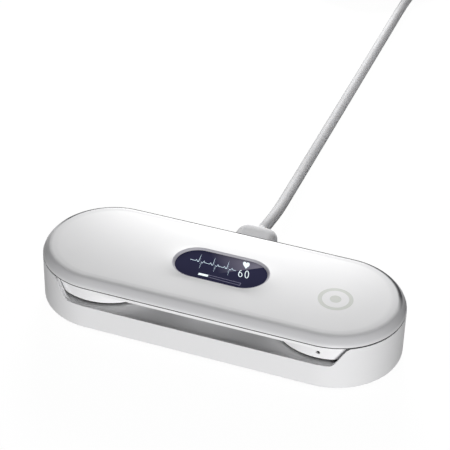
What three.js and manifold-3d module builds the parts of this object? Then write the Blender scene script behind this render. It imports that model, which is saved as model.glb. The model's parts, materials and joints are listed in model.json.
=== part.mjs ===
// Portable ECG monitor lying in its charging dock, with the charging lead plugged in.
// Millimetres, +Z up. The origin is the centre of the dock's footprint on the table, X runs along
// the dock to the right, and Y runs to the rear, where the lead leaves.

import * as THREE from 'three';
import { mergeVertices } from 'three/addons/utils/BufferGeometryUtils.js';
import Module from 'manifold-3d';

const wasm = await Module();
wasm.setup();

const quarterTurn = Math.PI / 2;
const fullTurn = 2 * Math.PI;

// Facets of a round end, of a small round piece and of a rounded corner
const endSteps = 16;
const pinSteps = 12;
const cornerSteps = 3;

// Clearances between neighbours, and how far a cut passes the face that it opens
const fit = { running: 0.3, snug: 0.15, skin: 0.1 };
const overrun = 1;

// Plan shared by the dock and the monitor: straight sides and round ends
const plan = { length: 100, width: 37.2 };
const planRadius = plan.width / 2;
const halfSpan = plan.length / 2 - planRadius;

// Rubber feet, bottom cover and its screws
const foot = { radius: 3, proud: 0.6, recess: 0.4, softEdge: 0.2 };
const footPlaceShare = { span: 1.05, radius: 0.51 };
const base = { thickness: 1.4, pillarRadius: 1.5 };
const baseScrew = { shankRadius: 0.8, headRadius: 1.6, headHeight: 0.7, headRecess: 0.8, length: 4 };
const baseBottom = foot.proud;
const baseTop = baseBottom + base.thickness;

// Charging board on the cover's pillars, and the socket that it carries
const dockBoard = { length: 26, width: 24.6, thickness: 1, standoff: 1.4, rearGap: 0.6 };
const socket = { width: 8.94, height: 3.26, length: 7.8, wall: 0.3, backWall: 0.5 };
const socketPlace = { lift: 0.17, mouthRecess: 0.4 };
const tongue = { width: 6.6, thickness: 0.7, length: 5 };
const tunnelCornerShare = 0.45;
const boardBottom = baseTop + dockBoard.standoff;
const boardTop = boardBottom + dockBoard.thickness;
const socketHeight = boardTop + socketPlace.lift + socket.height / 2;
const socketMouth = planRadius - socketPlace.mouthRecess;
const socketBack = socketMouth - socket.length;

// Grey tray with its screw posts, above the board
const tray = { overBoard: 1.4, floor: 0.8, wall: 0.7 };
const post = { radius: 2, sideRoom: 2.2, boardRoom: 1 };
const trayBottom = boardTop + tray.overBoard;
const floorTop = trayBottom + tray.floor;

// White outer wall of the dock: thin beside the tray, thicker below it, with a soft lower edge
const shell = { wall: 0.8, lowerWall: 2.2, edgeInset: 0.5, edgeRise: 1, lipEdge: 0.2 };
const lowerEdgeShare = { inset: 0.3, rise: 0.4 };
const trayRadius = planRadius - shell.wall - fit.skin;
const pocketRadius = trayRadius - tray.wall;

// Monitor, stacked up from the tray's floor
const electrode = { ringGap: 0.3, proud: 0.2, softEdge: 0.15, overFloor: 0.6 };
const electrodeRing = { edgeInset: 0.2, width: 1.3, height: 0.5 };
const boss = { depth: 2.95, draft: 0.4, wall: 1, floor: 0.9, inset: 0.1 };
const lower = { height: 2.35, inset: 1.9, wall: 1, floor: 1, softEdge: 0.25 };
const seal = { height: 0.3, edgeGap: 0.1 };
const electrodeBottom = floorTop + electrode.overFloor;
const ringBottom = electrodeBottom + electrode.proud;
const bossBottom = ringBottom + electrodeRing.height;
const lowerBottom = bossBottom + boss.depth;
const lowerTop = lowerBottom + lower.height;
const partingHeight = lowerTop + seal.height;
const lowerRadius = planRadius - lower.inset;
const bossTopRadius = lowerRadius - boss.inset;
const bossBottomRadius = bossTopRadius - boss.draft;
const ringOuterRadius = bossBottomRadius - electrodeRing.edgeInset;
const ringInnerRadius = ringOuterRadius - electrodeRing.width;
const electrodeRadius = ringInnerRadius - electrode.ringGap;
const bossCavityRadius = bossBottomRadius - boss.wall;
const lowerCavityRadius = lowerRadius - lower.wall;
const bossFloorTop = bossBottom + boss.floor;
const lowerFloorTop = lowerBottom + lower.floor;

// Upper casing: an upright band, a sloping shoulder and a flat crown
const upper = { band: 0.2, shoulderWidth: 1.9, shoulderRise: 2.45, crownRise: 0.25 };
const upperInside = { roof: 1.1, sideWall: 2.7, cornerDrop: 0.3 };
const ridgeWidth = 0.8;
const shoulderShares = [
  [0.03, 0.05], [0.12, 0.22], [0.22, 0.4], [0.36, 0.56], [0.58, 0.76], [0.8, 0.91], [1, 1],
];
const crownShares = [0.05, 0.12, 0.22, 0.36, 0.55, 0.76];
const crownPowerShare = 3.5;
const shoulderBottom = partingHeight + upper.band;
const crownBottom = shoulderBottom + upper.shoulderRise;
const upperCavityRadius = planRadius - upperInside.sideWall;
const ridgeInset = planRadius - ridgeWidth / 2;

// Rim of the dock, with the finger notch cut in its front
const rim = { gap: 0.25 };
const notch = { depth: 5.65, endInset: 8.4, riseLength: 5.2 };
const notchSteps = 10;
const rimHeight = partingHeight - rim.gap;
const notchFloor = rimHeight - notch.depth;
const notchHalfLength = plan.length / 2 - notch.endInset;
const notchFlatHalf = notchHalfLength - notch.riseLength;

// Sprung contacts and magnets in the raised platform at the middle of the tray
const contactBlock = { length: 10, width: 14.6, offset: -0.8 };
const platform = { wall: 0.8, seatGap: 0.25 };
const pin = { radius: 0.65, length: 3.4, travel: 0.8, tip: 0.3, pitch: 5 };
const pinTipShare = 0.55;
const barrel = { radius: 1.2, bore: 0.95, boreMargin: 0.4, edgeGap: 0.1 };
const pad = { radius: 1.3, recess: 0.4, pinGap: 0.3 };
const dockMagnet = { radius: 2, thickness: 1.8, pocketDepth: 2 };
const monitorMagnet = { radius: 2, thickness: 0.6 };
const magnetPlaceShare = 0.3;
const platformTop = lowerBottom - platform.seatGap;
const platformCeiling = platformTop - platform.wall;
const platformHalf = contactBlock.length / 2 + fit.running + platform.wall;
const platformFront = contactBlock.offset - contactBlock.width / 2 - fit.running - platform.wall;
const blockTop = platformCeiling - fit.snug;
const padBottom = lowerBottom + pad.recess;
const pinTop = padBottom - pad.pinGap;
const pinBottom = pinTop - pin.length;
const barrelFloor = pinBottom - pin.travel - barrel.boreMargin;

// Steel ballast plates under the tray's ends
const ballast = { boardRoom: 6.4, wallRoom: 6.4, sideRoom: 7.4, thickness: 2.2, corner: 5 };
const ballastNear = dockBoard.length / 2 + ballast.boardRoom;
const ballastFar = plan.length / 2 - shell.lowerWall - ballast.wallRoom;
const ballastWidth = 2 * (planRadius - shell.lowerWall - ballast.sideRoom);

// Inside of the monitor
const mainBoard = { standoff: 0.85, standoffRadius: 1.4, thickness: 0.8, endReach: 10.6, sideRoom: 5.9 };
const standoffPlaceShare = { span: 0.34, board: 0.62 };
const battery = { endRoom: 5.2, sideRoom: 7.2, thickness: 3, corner: 1 };
const buzzer = { radius: 4.5, height: 2.4, port: 0.8, portDepth: 0.5 };
const electrodeContact = { radius: 1 };
const caseScrew = { shankRadius: 0.6, headRadius: 1.3, headHeight: 0.4, headRecess: 0.5, length: 3.6 };
const casePost = { radius: 1.9, spanShare: 0.4 };
const mainBoardBottom = lowerFloorTop + mainBoard.standoff;
const mainBoardTop = mainBoardBottom + mainBoard.thickness;
const mainBoardHalfWidth = lowerCavityRadius - mainBoard.sideRoom;
const casePostX = halfSpan * casePost.spanShare;
const casePostY = mainBoardHalfWidth + fit.running + casePost.radius;
const batteryLength = 2 * (bossCavityRadius - battery.endRoom);
const batteryWidth = 2 * (bossCavityRadius - battery.sideRoom);
const electrodeContactX = halfSpan - batteryLength / 2 - 2 * fit.running - electrodeContact.radius;

// Display: a window in the roof, the lens behind it, and the panel and its frame on the board
const windowSize = { length: 25.15, width: 11.65, flare: 0.5 };
const lens = { overlap: 1, thickness: 0.8 };
const displayFrame = { height: 1.7, wall: 1.2, corner: 1.2 };
const panel = { length: 23.4, width: 9.8, thickness: 1, corner: 0.6 };
const windowRadius = windowSize.width / 2;
const windowSpan = windowSize.length / 2 - windowRadius;
const lensBottom = mainBoardTop + displayFrame.height;
const lensTop = lensBottom + lens.thickness;

// Touch key behind the roof, and the small light pipe in the right boss
const touchPad = { radius: 4.8, thickness: 0.4, stemRadius: 1.5 };
const touchPlaceShare = { span: 1.02, radius: -0.11 };
const lightPipe = { radius: 0.4, length: 3.2, recess: 0.1, offset: 0.8, height: 2 };

// Charging plug: metal tip, moulded grip and short strain relief
const plugTip = { width: 8.25, height: 2.4, wall: 0.35, reach: 6.6, seat: 2 };
const plugGrip = { width: 12, height: 6.5, corner: 2.4, length: 12.6, frontGap: 0.3, endRound: 3 };
const plugNeck = { width: 5, height: 4.6, endWidth: 4.3, endHeight: 4.2, corner: 1.7, length: 2 };
const roundEndShares = [[0, 0.6], [0.12, 0.3], [0.4, 0.07], [1, 0]];
const gripFlatShare = 0.35;
const gripFront = planRadius + plugGrip.frontGap;
const gripRear = gripFront + plugGrip.length;
const neckRear = gripRear + plugNeck.length;

// Lead: the points of its free run and of its tail, chosen by hand, with Y measured from the neck's end
const lead = { diameter: 3.3, faceGap: 0.3, lie: 0.05 };
const leadHeight = lead.diameter / 2 + lead.lie;
const leadRunPoints = [
  [0, 0, 6.2], [0.1, 2.5, 6.15], [0.35, 6.5, 5.75], [0.4, 11.5, 5], [0.08, 17.5, 4.1], [-0.28, 23.5, 3.3],
  [-0.6, 29.5, 2.6], [-0.86, 36.5, 2], [-1.03, 44.5, 1.7], [-1.07, 56.5, 1.7], [-1.11, 71.5, 1.7],
  [-1.16, 86.5, 1.7], [-1.2, 101.5, 1.7], [-1.25, 116.5, 1.7], [-1.29, 131.5, 1.7], [-1.34, 146.5, 1.7],
  [-1.38, 161.5, 1.7], [-1.05, 169.5, 1.7], [-0.2, 176.5, 1.7], [0.55, 183, 1.7], [0.7, 187.5, 1.7],
];
const leadTailPoints = [
  [0.7, 193.5, 5.5], [0.7, 197.5, 5.45], [0.7, 201.5, 5.05],
  [0.7, 205.5, 4.45], [0.7, 209.5, 4.06], [0.7, 213.5, 4],
];
const fromNeck = ([x, y, z]) => new THREE.Vector3(x, neckRear + y, z);
const leadRun = leadRunPoints.map(fromNeck);
const leadTail = leadTailPoints.map(fromNeck);
const leadSides = 8;
const runSteps = 30;
const tailSteps = 6;

// Coil: its turns spiral in, climb one layer and spiral out again
const coil = { outerRadius: 24.5, pitch: 3.8, layerPitch: 3.8, endLength: 3 };
const coilTurns = 7;
const coilSides = 6;
const stepsPerTurn = 24;
const reversalBlend = 0.5;
const coilStart = leadRun[leadRun.length - 1].clone();

// Far plug, lying flat beyond the coil
const farGrip = { width: 15.6, height: 7.6, corner: 1.6, length: 22, endRound: 1.5, lie: 0.2 };
const farShell = { width: 12, height: 4.5, wall: 0.35, length: 13, seat: 1.5 };
const farInsert = { height: 1.8, sideGap: 0.3, length: 10 };

// Colours and finishes
function paint(color, roughness, metalness) {
  return new THREE.MeshStandardMaterial({ color, roughness, metalness });
}
const whitePlastic = paint('#f0f0f1', 0.4, 0);
const dockPlastic = paint('#e6e6e7', 0.5, 0);
const greyPlastic = paint('#787878', 0.6, 0);
const blackRubber = paint('#1c1c1e', 0.8, 0);
const darkGlass = paint('#2a2848', 0.1, 0);
const boardGreen = paint('#1f5a3c', 0.6, 0);
const steel = paint('#b9bbbe', 0.3, 1);
const gold = paint('#d2a94a', 0.3, 1);
const leadPlastic = paint('#c9c9cb', 0.55, 0);
const batteryFoil = paint('#a9adb3', 0.45, 0.6);
const nylon = paint('#e9e9ea', 0.5, 0);

// Outline with straight sides and round ends, anticlockwise, at one height
function stadiumRing(span, radius, z) {
  const points = [];
  for (const [centre, start] of [[span, -quarterTurn], [-span, quarterTurn]]) {
    for (let step = 0; step <= endSteps; step += 1) {
      const angle = start + (step / endSteps) * Math.PI;
      points.push(new THREE.Vector3(centre + radius * Math.cos(angle), radius * Math.sin(angle), z));
    }
  }
  return points;
}

// Outline of a rectangle with rounded corners, anticlockwise, at one height
function roundedRing(width, height, corner, z) {
  const points = [];
  const sides = [[1, 1], [-1, 1], [-1, -1], [1, -1]];
  sides.forEach(([sideX, sideY], quarter) => {
    for (let step = 0; step <= cornerSteps; step += 1) {
      const angle = (quarter + step / cornerSteps) * quarterTurn;
      const x = sideX * (width / 2 - corner) + corner * Math.cos(angle);
      const y = sideY * (height / 2 - corner) + corner * Math.sin(angle);
      points.push(new THREE.Vector3(x, y, z));
    }
  });
  return points;
}

// Closed surface through a row of rings with equal counts of points, with a fan over each end
function ringStack(rings) {
  const count = rings[0].length;
  const ends = [rings[0], rings[rings.length - 1]].map((ring) => (
    ring.reduce((sum, point) => sum.add(point), new THREE.Vector3()).divideScalar(count)
  ));
  const points = [...rings.flat(), ...ends];
  const first = rings.length * count;
  const lastRing = (rings.length - 1) * count;
  const faces = [];
  for (let side = 0; side < count; side += 1) {
    const next = (side + 1) % count;
    faces.push(first, next, side);
    faces.push(first + 1, lastRing + side, lastRing + next);
    for (let ring = 0; ring < rings.length - 1; ring += 1) {
      const low = ring * count;
      const high = low + count;
      faces.push(low + side, low + next, high + next);
      faces.push(low + side, high + next, high + side);
    }
  }
  const surface = new THREE.BufferGeometry();
  surface.setAttribute('position', new THREE.Float32BufferAttribute(points.flatMap((p) => p.toArray()), 3));
  surface.setIndex(faces);
  surface.computeVertexNormals();
  return surface;
}

// Body with the shared plan, from pairs of inset and height
function planStack(profile) {
  return ringStack(profile.map(([inset, z]) => stadiumRing(halfSpan, planRadius - inset, z)));
}

function stadiumPrism(span, radius, bottom, top) {
  return ringStack([stadiumRing(span, radius, bottom), stadiumRing(span, radius, top)]);
}

// Turned body standing on Z, from pairs of radius and height that start and end on the axis
function turned(profile, steps = pinSteps) {
  const points = profile.map(([radius, z]) => new THREE.Vector2(radius, z));
  return new THREE.LatheGeometry(points, steps).rotateX(quarterTurn);
}

function disc(radius, bottom, top, steps = pinSteps) {
  return turned([[0, bottom], [radius, bottom], [radius, top], [0, top]], steps);
}

// Disc with a soft lower edge
function softDisc(radius, bottom, top, edge, steps = pinSteps) {
  return turned([
    [0, bottom], [radius - edge, bottom], [radius, bottom + edge], [radius, top], [0, top],
  ], steps);
}

function block(length, width, bottom, top) {
  return new THREE.BoxGeometry(length, width, top - bottom).translate(0, 0, (bottom + top) / 2);
}

function roundedPrism(length, width, corner, bottom, top) {
  return ringStack([roundedRing(length, width, corner, bottom), roundedRing(length, width, corner, top)]);
}

// Loft along Y at the height of an axis, from rows of Y, width, height and corner
function loftAlongY(rows, axisHeight, x = 0) {
  const rings = rows.map(([y, width, height, corner]) => roundedRing(width, height, corner, y));
  return ringStack(rings).rotateX(-quarterTurn).translate(x, 0, axisHeight);
}

// Round-cornered bar along Y
function barAlongY(width, height, corner, front, rear, axisHeight, x = 0) {
  return loftAlongY([[front, width, height, corner], [rear, width, height, corner]], axisHeight, x);
}

// Booleans on closed surfaces
function solid(surface) {
  if (!surface.isBufferGeometry) return surface;
  const bare = surface.clone();
  bare.deleteAttribute('normal');
  bare.deleteAttribute('uv');
  const merged = mergeVertices(bare);
  const vertProperties = new Float32Array(merged.attributes.position.array);
  const triVerts = new Uint32Array(merged.index.array);
  return new wasm.Manifold(new wasm.Mesh({ numProp: 3, vertProperties, triVerts }));
}

function cut(body, ...tools) {
  return tools.reduce((rest, tool) => rest.subtract(solid(tool)), solid(body));
}

function join(body, ...others) {
  return others.reduce((sum, other) => sum.add(solid(other)), solid(body));
}

function surfaceOf(body) {
  if (body.isBufferGeometry) return body;
  const { vertProperties, triVerts } = body.getMesh();
  const surface = new THREE.BufferGeometry();
  surface.setAttribute('position', new THREE.Float32BufferAttribute(vertProperties, 3));
  surface.setIndex(Array.from(triVerts));
  surface.computeVertexNormals();
  return surface;
}

// Adds one named piece to a group
function addPiece(group, name, body, material, x = 0, y = 0, z = 0) {
  const mesh = new THREE.Mesh(surfaceOf(body), material);
  mesh.name = name;
  mesh.position.set(x, y, z);
  group.add(mesh);
}

// Four corners, numbered from the front left, anticlockwise
function fourPlaces(x, y) {
  return [[-x, -y], [x, -y], [x, y], [-x, y]];
}

function movedTo(places, makeTool) {
  return places.map(([x, y]) => makeTool().translate(x, y, 0));
}

const footPlaces = fourPlaces(halfSpan * footPlaceShare.span, planRadius * footPlaceShare.radius);
const basePostX = dockBoard.length / 2 + post.boardRoom + post.radius;
const basePostY = planRadius - shell.lowerWall - post.sideRoom - post.radius;
const basePosts = fourPlaces(basePostX, basePostY);
const boardRear = planRadius - shell.lowerWall - dockBoard.rearGap;
const boardFront = boardRear - dockBoard.width;
const boardMiddle = (boardRear + boardFront) / 2;
const pinPlaces = [['left', -pin.pitch / 2], ['right', pin.pitch / 2]];
const contactPlaces = pinPlaces.map(([, x]) => [x, contactBlock.offset]);
const magnetReach = contactBlock.width * magnetPlaceShare;
const magnetPlaces = [
  ['front', contactBlock.offset - magnetReach],
  ['rear', contactBlock.offset + magnetReach],
];
const casePosts = fourPlaces(casePostX, casePostY);
const endPlaces = [['left', -1], ['right', 1]];

// Height of the rim's edge along X: flat in the notch, with an S-shaped rise to the full rim
function rimLine(x) {
  const rise = (Math.abs(x) - notchFlatHalf) / notch.riseLength;
  const share = Math.min(Math.max(rise, 0), 1);
  return notchFloor + notch.depth * (1 - Math.cos(share * Math.PI)) / 2;
}

// Tool that opens the notch in the front wall, from outside to just inside the tray's wall
function notchTool() {
  const outline = new THREE.Shape();
  outline.moveTo(-notchHalfLength, rimHeight + overrun);
  for (let step = 0; step <= notchSteps; step += 1) {
    const x = -notchHalfLength + (notch.riseLength * step) / notchSteps;
    outline.lineTo(x, rimLine(x));
  }
  for (let step = notchSteps; step >= 0; step -= 1) {
    const x = notchHalfLength - (notch.riseLength * step) / notchSteps;
    outline.lineTo(x, rimLine(x));
  }
  outline.lineTo(notchHalfLength, rimHeight + overrun);
  const wallInside = Math.sqrt(pocketRadius ** 2 - (notchHalfLength - halfSpan) ** 2) - overrun;
  const front = planRadius + overrun;
  const tool = new THREE.ExtrudeGeometry(outline, { depth: front - wallInside, bevelEnabled: false });
  return tool.rotateX(quarterTurn).translate(0, -wallInside, 0);
}

// Tool that opens the rear wall for the socket
function socketTunnel() {
  const width = socket.width + 2 * fit.running;
  const height = socket.height + 2 * fit.running;
  const front = planRadius - shell.lowerWall - overrun;
  return barAlongY(width, height, height * tunnelCornerShare, front, planRadius + overrun, socketHeight);
}

function dockShell() {
  const body = planStack([
    [shell.edgeInset, baseBottom],
    [shell.edgeInset * lowerEdgeShare.inset, baseBottom + shell.edgeRise * lowerEdgeShare.rise],
    [0, baseBottom + shell.edgeRise],
    [0, rimHeight - shell.lipEdge],
    [shell.lipEdge, rimHeight],
  ]);
  return cut(
    body,
    stadiumPrism(halfSpan, planRadius - shell.wall, baseBottom - overrun, baseTop),
    stadiumPrism(halfSpan, planRadius - shell.lowerWall, baseBottom - overrun, rimHeight + overrun),
    stadiumPrism(halfSpan, planRadius - shell.wall, trayBottom, rimHeight + overrun),
    notchTool(),
    socketTunnel(),
  );
}

function dockTray() {
  const body = stadiumPrism(halfSpan, trayRadius, trayBottom, rimHeight);
  const platformRear = trayRadius;
  const platformWidth = platformRear - platformFront;
  const platformBody = block(2 * platformHalf, platformWidth, trayBottom, platformTop)
    .translate(0, platformFront + platformWidth / 2, 0);
  const pocket = cut(stadiumPrism(halfSpan, pocketRadius, floorTop, rimHeight + overrun), platformBody);
  const hollowRear = pocketRadius - fit.running;
  const hollowFront = platformFront + platform.wall;
  const hollowWidth = hollowRear - hollowFront;
  const hollow = block(2 * (platformHalf - platform.wall), hollowWidth, trayBottom - overrun, platformCeiling)
    .translate(0, hollowFront + hollowWidth / 2, 0);
  const posts = movedTo(basePosts, () => disc(post.radius, baseTop, trayBottom + tray.floor / 2));
  const boreTop = baseBottom + baseScrew.headRecess + baseScrew.length + fit.running;
  const bores = movedTo(basePosts, () => (
    disc(baseScrew.shankRadius + fit.running, baseTop - overrun, boreTop)
  ));
  const pinHoles = movedTo(contactPlaces, () => (
    disc(pin.radius + fit.running, platformCeiling - overrun, platformTop + overrun)
  ));
  return cut(join(cut(body, pocket, hollow), ...posts), ...bores, ...pinHoles, notchTool(), socketTunnel());
}

function dockBase() {
  const plate = stadiumPrism(halfSpan, planRadius - shell.wall - fit.snug, baseBottom, baseTop);
  const pillarX = dockBoard.length / 2 - base.pillarRadius;
  const pillarY = dockBoard.width / 2 - base.pillarRadius;
  const pillars = movedTo(fourPlaces(pillarX, pillarY), () => (
    disc(base.pillarRadius, baseTop - base.thickness / 2, boardBottom).translate(0, boardMiddle, 0)
  ));
  const footRecesses = movedTo(footPlaces, () => (
    disc(foot.radius + fit.snug, baseBottom - overrun, baseBottom + foot.recess)
  ));
  const headRecesses = movedTo(basePosts, () => (
    disc(baseScrew.headRadius + fit.snug, baseBottom - overrun, baseBottom + baseScrew.headRecess)
  ));
  const shankHoles = movedTo(basePosts, () => (
    disc(baseScrew.shankRadius + fit.snug, baseBottom - overrun, baseTop + overrun)
  ));
  return cut(join(plate, ...pillars), ...footRecesses, ...headRecesses, ...shankHoles);
}

// Pan-head screw pointing up, with its head's underside at the origin's height
function screw(size) {
  return turned([
    [0, -size.headHeight], [size.headRadius, -size.headHeight], [size.headRadius, 0],
    [size.shankRadius, 0], [size.shankRadius, size.length], [0, size.length],
  ]);
}

function socketShell() {
  const corner = socket.height * tunnelCornerShare;
  const body = barAlongY(socket.width, socket.height, corner, socketBack, socketMouth, socketHeight);
  const inner = barAlongY(
    socket.width - 2 * socket.wall,
    socket.height - 2 * socket.wall,
    corner - socket.wall,
    socketBack + socket.backWall,
    socketMouth + overrun,
    socketHeight,
  );
  return cut(body, inner);
}

function contactHolder() {
  const body = block(contactBlock.length, contactBlock.width, boardTop, blockTop);
  const barrels = pinPlaces.map(([, x]) => (
    disc(barrel.radius + fit.snug, boardTop - overrun, blockTop + overrun).translate(x, 0, 0)
  ));
  const pockets = magnetPlaces.map(([, y]) => (
    disc(dockMagnet.radius + fit.snug, blockTop - dockMagnet.pocketDepth, blockTop + overrun)
      .translate(0, y - contactBlock.offset, 0)
  ));
  return cut(body, ...barrels, ...pockets);
}

function pinBarrel() {
  const top = blockTop - barrel.edgeGap;
  return turned([
    [0, boardTop], [barrel.radius, boardTop], [barrel.radius, top],
    [barrel.bore, top], [barrel.bore, barrelFloor], [0, barrelFloor],
  ]);
}

function contactPin() {
  return turned([
    [0, pinBottom], [pin.radius, pinBottom], [pin.radius, pinTop - pin.tip],
    [pin.radius * pinTipShare, pinTop], [0, pinTop],
  ]);
}

// Height of the crown's outside at an inset from the casing's edge, inside the shoulder
function crownHeight(inset) {
  const along = (inset - upper.shoulderWidth) / (planRadius - upper.shoulderWidth);
  return crownBottom + upper.crownRise * (1 - (1 - along) ** crownPowerShare);
}

function upperShell() {
  const crownInsets = crownShares.map((share) => (
    upper.shoulderWidth + share * (planRadius - upper.shoulderWidth)
  ));
  const body = planStack([
    [0, partingHeight],
    [0, shoulderBottom],
    ...shoulderShares.map(([inset, rise]) => (
      [inset * upper.shoulderWidth, shoulderBottom + rise * upper.shoulderRise]
    )),
    ...crownInsets.map((inset) => [inset, crownHeight(inset)]),
    [ridgeInset, crownHeight(ridgeInset)],
  ]);
  const cavityInsets = [...crownInsets, ridgeInset].filter((inset) => inset > upperInside.sideWall);
  const cavityEdge = crownHeight(upperInside.sideWall) - upperInside.roof - upperInside.cornerDrop;
  const cavity = planStack([
    [upperInside.sideWall, partingHeight - overrun],
    [upperInside.sideWall, cavityEdge],
    ...cavityInsets.map((inset) => [inset + fit.skin, crownHeight(inset) - upperInside.roof]),
  ]);
  const postInset = planRadius - casePostY;
  const postTop = crownHeight(postInset) - upperInside.roof / 2;
  const posts = movedTo(casePosts, () => disc(casePost.radius, lowerFloorTop + fit.snug, postTop));
  const boreTop = lowerBottom + caseScrew.headRecess + caseScrew.length + fit.running;
  const bores = movedTo(casePosts, () => (
    disc(caseScrew.shankRadius + fit.running, lowerFloorTop - overrun, boreTop)
  ));
  const opening = ringStack([
    stadiumRing(windowSpan, windowRadius, lensBottom),
    stadiumRing(windowSpan, windowRadius, lensTop),
    stadiumRing(windowSpan, windowRadius + windowSize.flare, crownHeight(ridgeInset) + fit.skin),
    stadiumRing(windowSpan, windowRadius + windowSize.flare, crownHeight(ridgeInset) + overrun),
  ]);
  const lensSeat = stadiumPrism(
    windowSpan, windowRadius + lens.overlap + fit.snug, partingHeight, lensTop + fit.skin,
  );
  return cut(join(cut(body, cavity), ...posts), ...bores, opening, lensSeat);
}

function lowerShell() {
  const body = planStack([
    [lower.inset + lower.softEdge, lowerBottom],
    [lower.inset, lowerBottom + lower.softEdge],
    [lower.inset, lowerTop],
  ]);
  const bosses = endPlaces.map(([, side]) => turned([
    [0, bossBottom], [bossBottomRadius, bossBottom],
    [bossTopRadius, lowerBottom], [bossTopRadius, lowerFloorTop], [0, lowerFloorTop],
  ], 2 * endSteps).translate(side * halfSpan, 0, 0));
  const cavity = stadiumPrism(halfSpan, lowerCavityRadius, lowerFloorTop, lowerTop + overrun);
  const wells = endPlaces.map(([, side]) => (
    disc(bossCavityRadius, bossFloorTop, lowerTop + overrun, 2 * endSteps).translate(side * halfSpan, 0, 0)
  ));
  const standoffs = movedTo(
    fourPlaces(halfSpan * standoffPlaceShare.span, mainBoardHalfWidth * standoffPlaceShare.board),
    () => disc(mainBoard.standoffRadius, lowerFloorTop - lower.floor / 2, mainBoardBottom),
  );
  const padHoles = movedTo(contactPlaces, () => (
    disc(pad.radius + fit.running, lowerBottom - overrun, lowerFloorTop + overrun)
  ));
  const contactHoles = endPlaces.map(([, side]) => (
    disc(electrodeContact.radius + fit.running, bossBottom - overrun, bossFloorTop + overrun)
      .translate(side * electrodeContactX, 0, 0)
  ));
  const headRecesses = movedTo(casePosts, () => (
    disc(caseScrew.headRadius + fit.snug, lowerBottom - overrun, lowerBottom + caseScrew.headRecess)
  ));
  const shankHoles = movedTo(casePosts, () => (
    disc(caseScrew.shankRadius + fit.snug, lowerBottom - overrun, lowerFloorTop + overrun)
  ));
  const pipeHole = lightPipeBody(lightPipe.radius + fit.snug, overrun);
  const hollowed = cut(join(body, ...bosses), cavity, ...wells);
  const holes = [...padHoles, ...contactHoles, ...headRecesses, ...shankHoles, pipeHole];
  return cut(join(hollowed, ...standoffs), ...holes);
}

// Light pipe through the front of the right boss, with an allowance for its hole
function lightPipeBody(radius, extra) {
  const tip = -(bossBottomRadius - lightPipe.recess);
  const body = disc(radius, tip - extra, tip + lightPipe.length + extra, pinSteps / 2);
  return body.rotateX(-quarterTurn).translate(halfSpan + lightPipe.offset, 0, bossBottom + lightPipe.height);
}

function sealRing() {
  const outer = stadiumPrism(halfSpan, lowerRadius - seal.edgeGap, lowerTop, partingHeight);
  return cut(outer, stadiumPrism(halfSpan, upperCavityRadius, lowerTop - overrun, partingHeight + overrun));
}

function ringOf(outerRadius, innerRadius, bottom, top, steps) {
  const bore = disc(innerRadius, bottom - overrun, top + overrun, steps);
  return cut(disc(outerRadius, bottom, top, steps), bore);
}

function displayHolder() {
  const length = panel.length + 2 * fit.running;
  const width = panel.width + 2 * fit.running;
  const outerLength = length + 2 * displayFrame.wall;
  const outerWidth = width + 2 * displayFrame.wall;
  const body = roundedPrism(outerLength, outerWidth, displayFrame.corner, mainBoardTop, lensBottom);
  return cut(body, roundedPrism(length, width, panel.corner, mainBoardTop - overrun, lensBottom + overrun));
}

// Touch pad on its stem, with its top just under the roof
function touchPadBody() {
  const farInset = planRadius - touchPad.radius - Math.abs(touchPlaceShare.radius) * planRadius;
  const top = crownHeight(farInset - halfSpan * (touchPlaceShare.span - 1)) - upperInside.roof - fit.snug;
  const under = top - touchPad.thickness;
  return turned([
    [0, mainBoardTop], [touchPad.stemRadius, mainBoardTop], [touchPad.stemRadius, under],
    [touchPad.radius, under], [touchPad.radius, top], [0, top],
  ]);
}

function buzzerBody() {
  const top = bossFloorTop + buzzer.height;
  return turned([
    [0, bossFloorTop], [buzzer.radius, bossFloorTop], [buzzer.radius, top],
    [buzzer.port, top], [buzzer.port, top - buzzer.portDepth], [0, top - buzzer.portDepth],
  ]);
}

function chargeTip() {
  const front = gripFront - plugTip.reach;
  const rear = gripFront + plugTip.seat;
  const corner = plugTip.height * tunnelCornerShare;
  const inner = barAlongY(
    plugTip.width - 2 * plugTip.wall,
    plugTip.height - 2 * plugTip.wall,
    corner - plugTip.wall,
    front - overrun,
    rear + overrun,
    socketHeight,
  );
  return cut(barAlongY(plugTip.width, plugTip.height, corner, front, rear, socketHeight), inner);
}

// Moulded grip with rounded ends, from its front to its rear
function gripBody(size, front, axisHeight, x) {
  const rows = roundEndShares.map(([along, inset]) => [along * size.endRound, inset * size.endRound]);
  const sections = [
    ...rows.map(([along, inset]) => [front + along, inset]),
    ...rows.map(([along, inset]) => [front + size.length - along, inset]).reverse(),
  ];
  return loftAlongY(sections.map(([y, inset]) => [
    y,
    size.width - 2 * inset,
    size.height - 2 * inset * gripFlatShare,
    size.corner - inset * gripFlatShare,
  ]), axisHeight, x);
}

function chargeGrip() {
  const seat = barAlongY(
    plugTip.width + 2 * fit.snug,
    plugTip.height + 2 * fit.snug,
    plugTip.height * tunnelCornerShare,
    gripFront - overrun,
    gripFront + plugTip.seat + fit.snug,
    socketHeight,
  );
  return cut(gripBody(plugGrip, gripFront, socketHeight, 0), seat);
}

function chargeNeck() {
  return loftAlongY([
    [gripRear, plugNeck.width, plugNeck.height, plugNeck.corner],
    [neckRear, plugNeck.endWidth, plugNeck.endHeight, plugNeck.corner],
  ], socketHeight);
}

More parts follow.
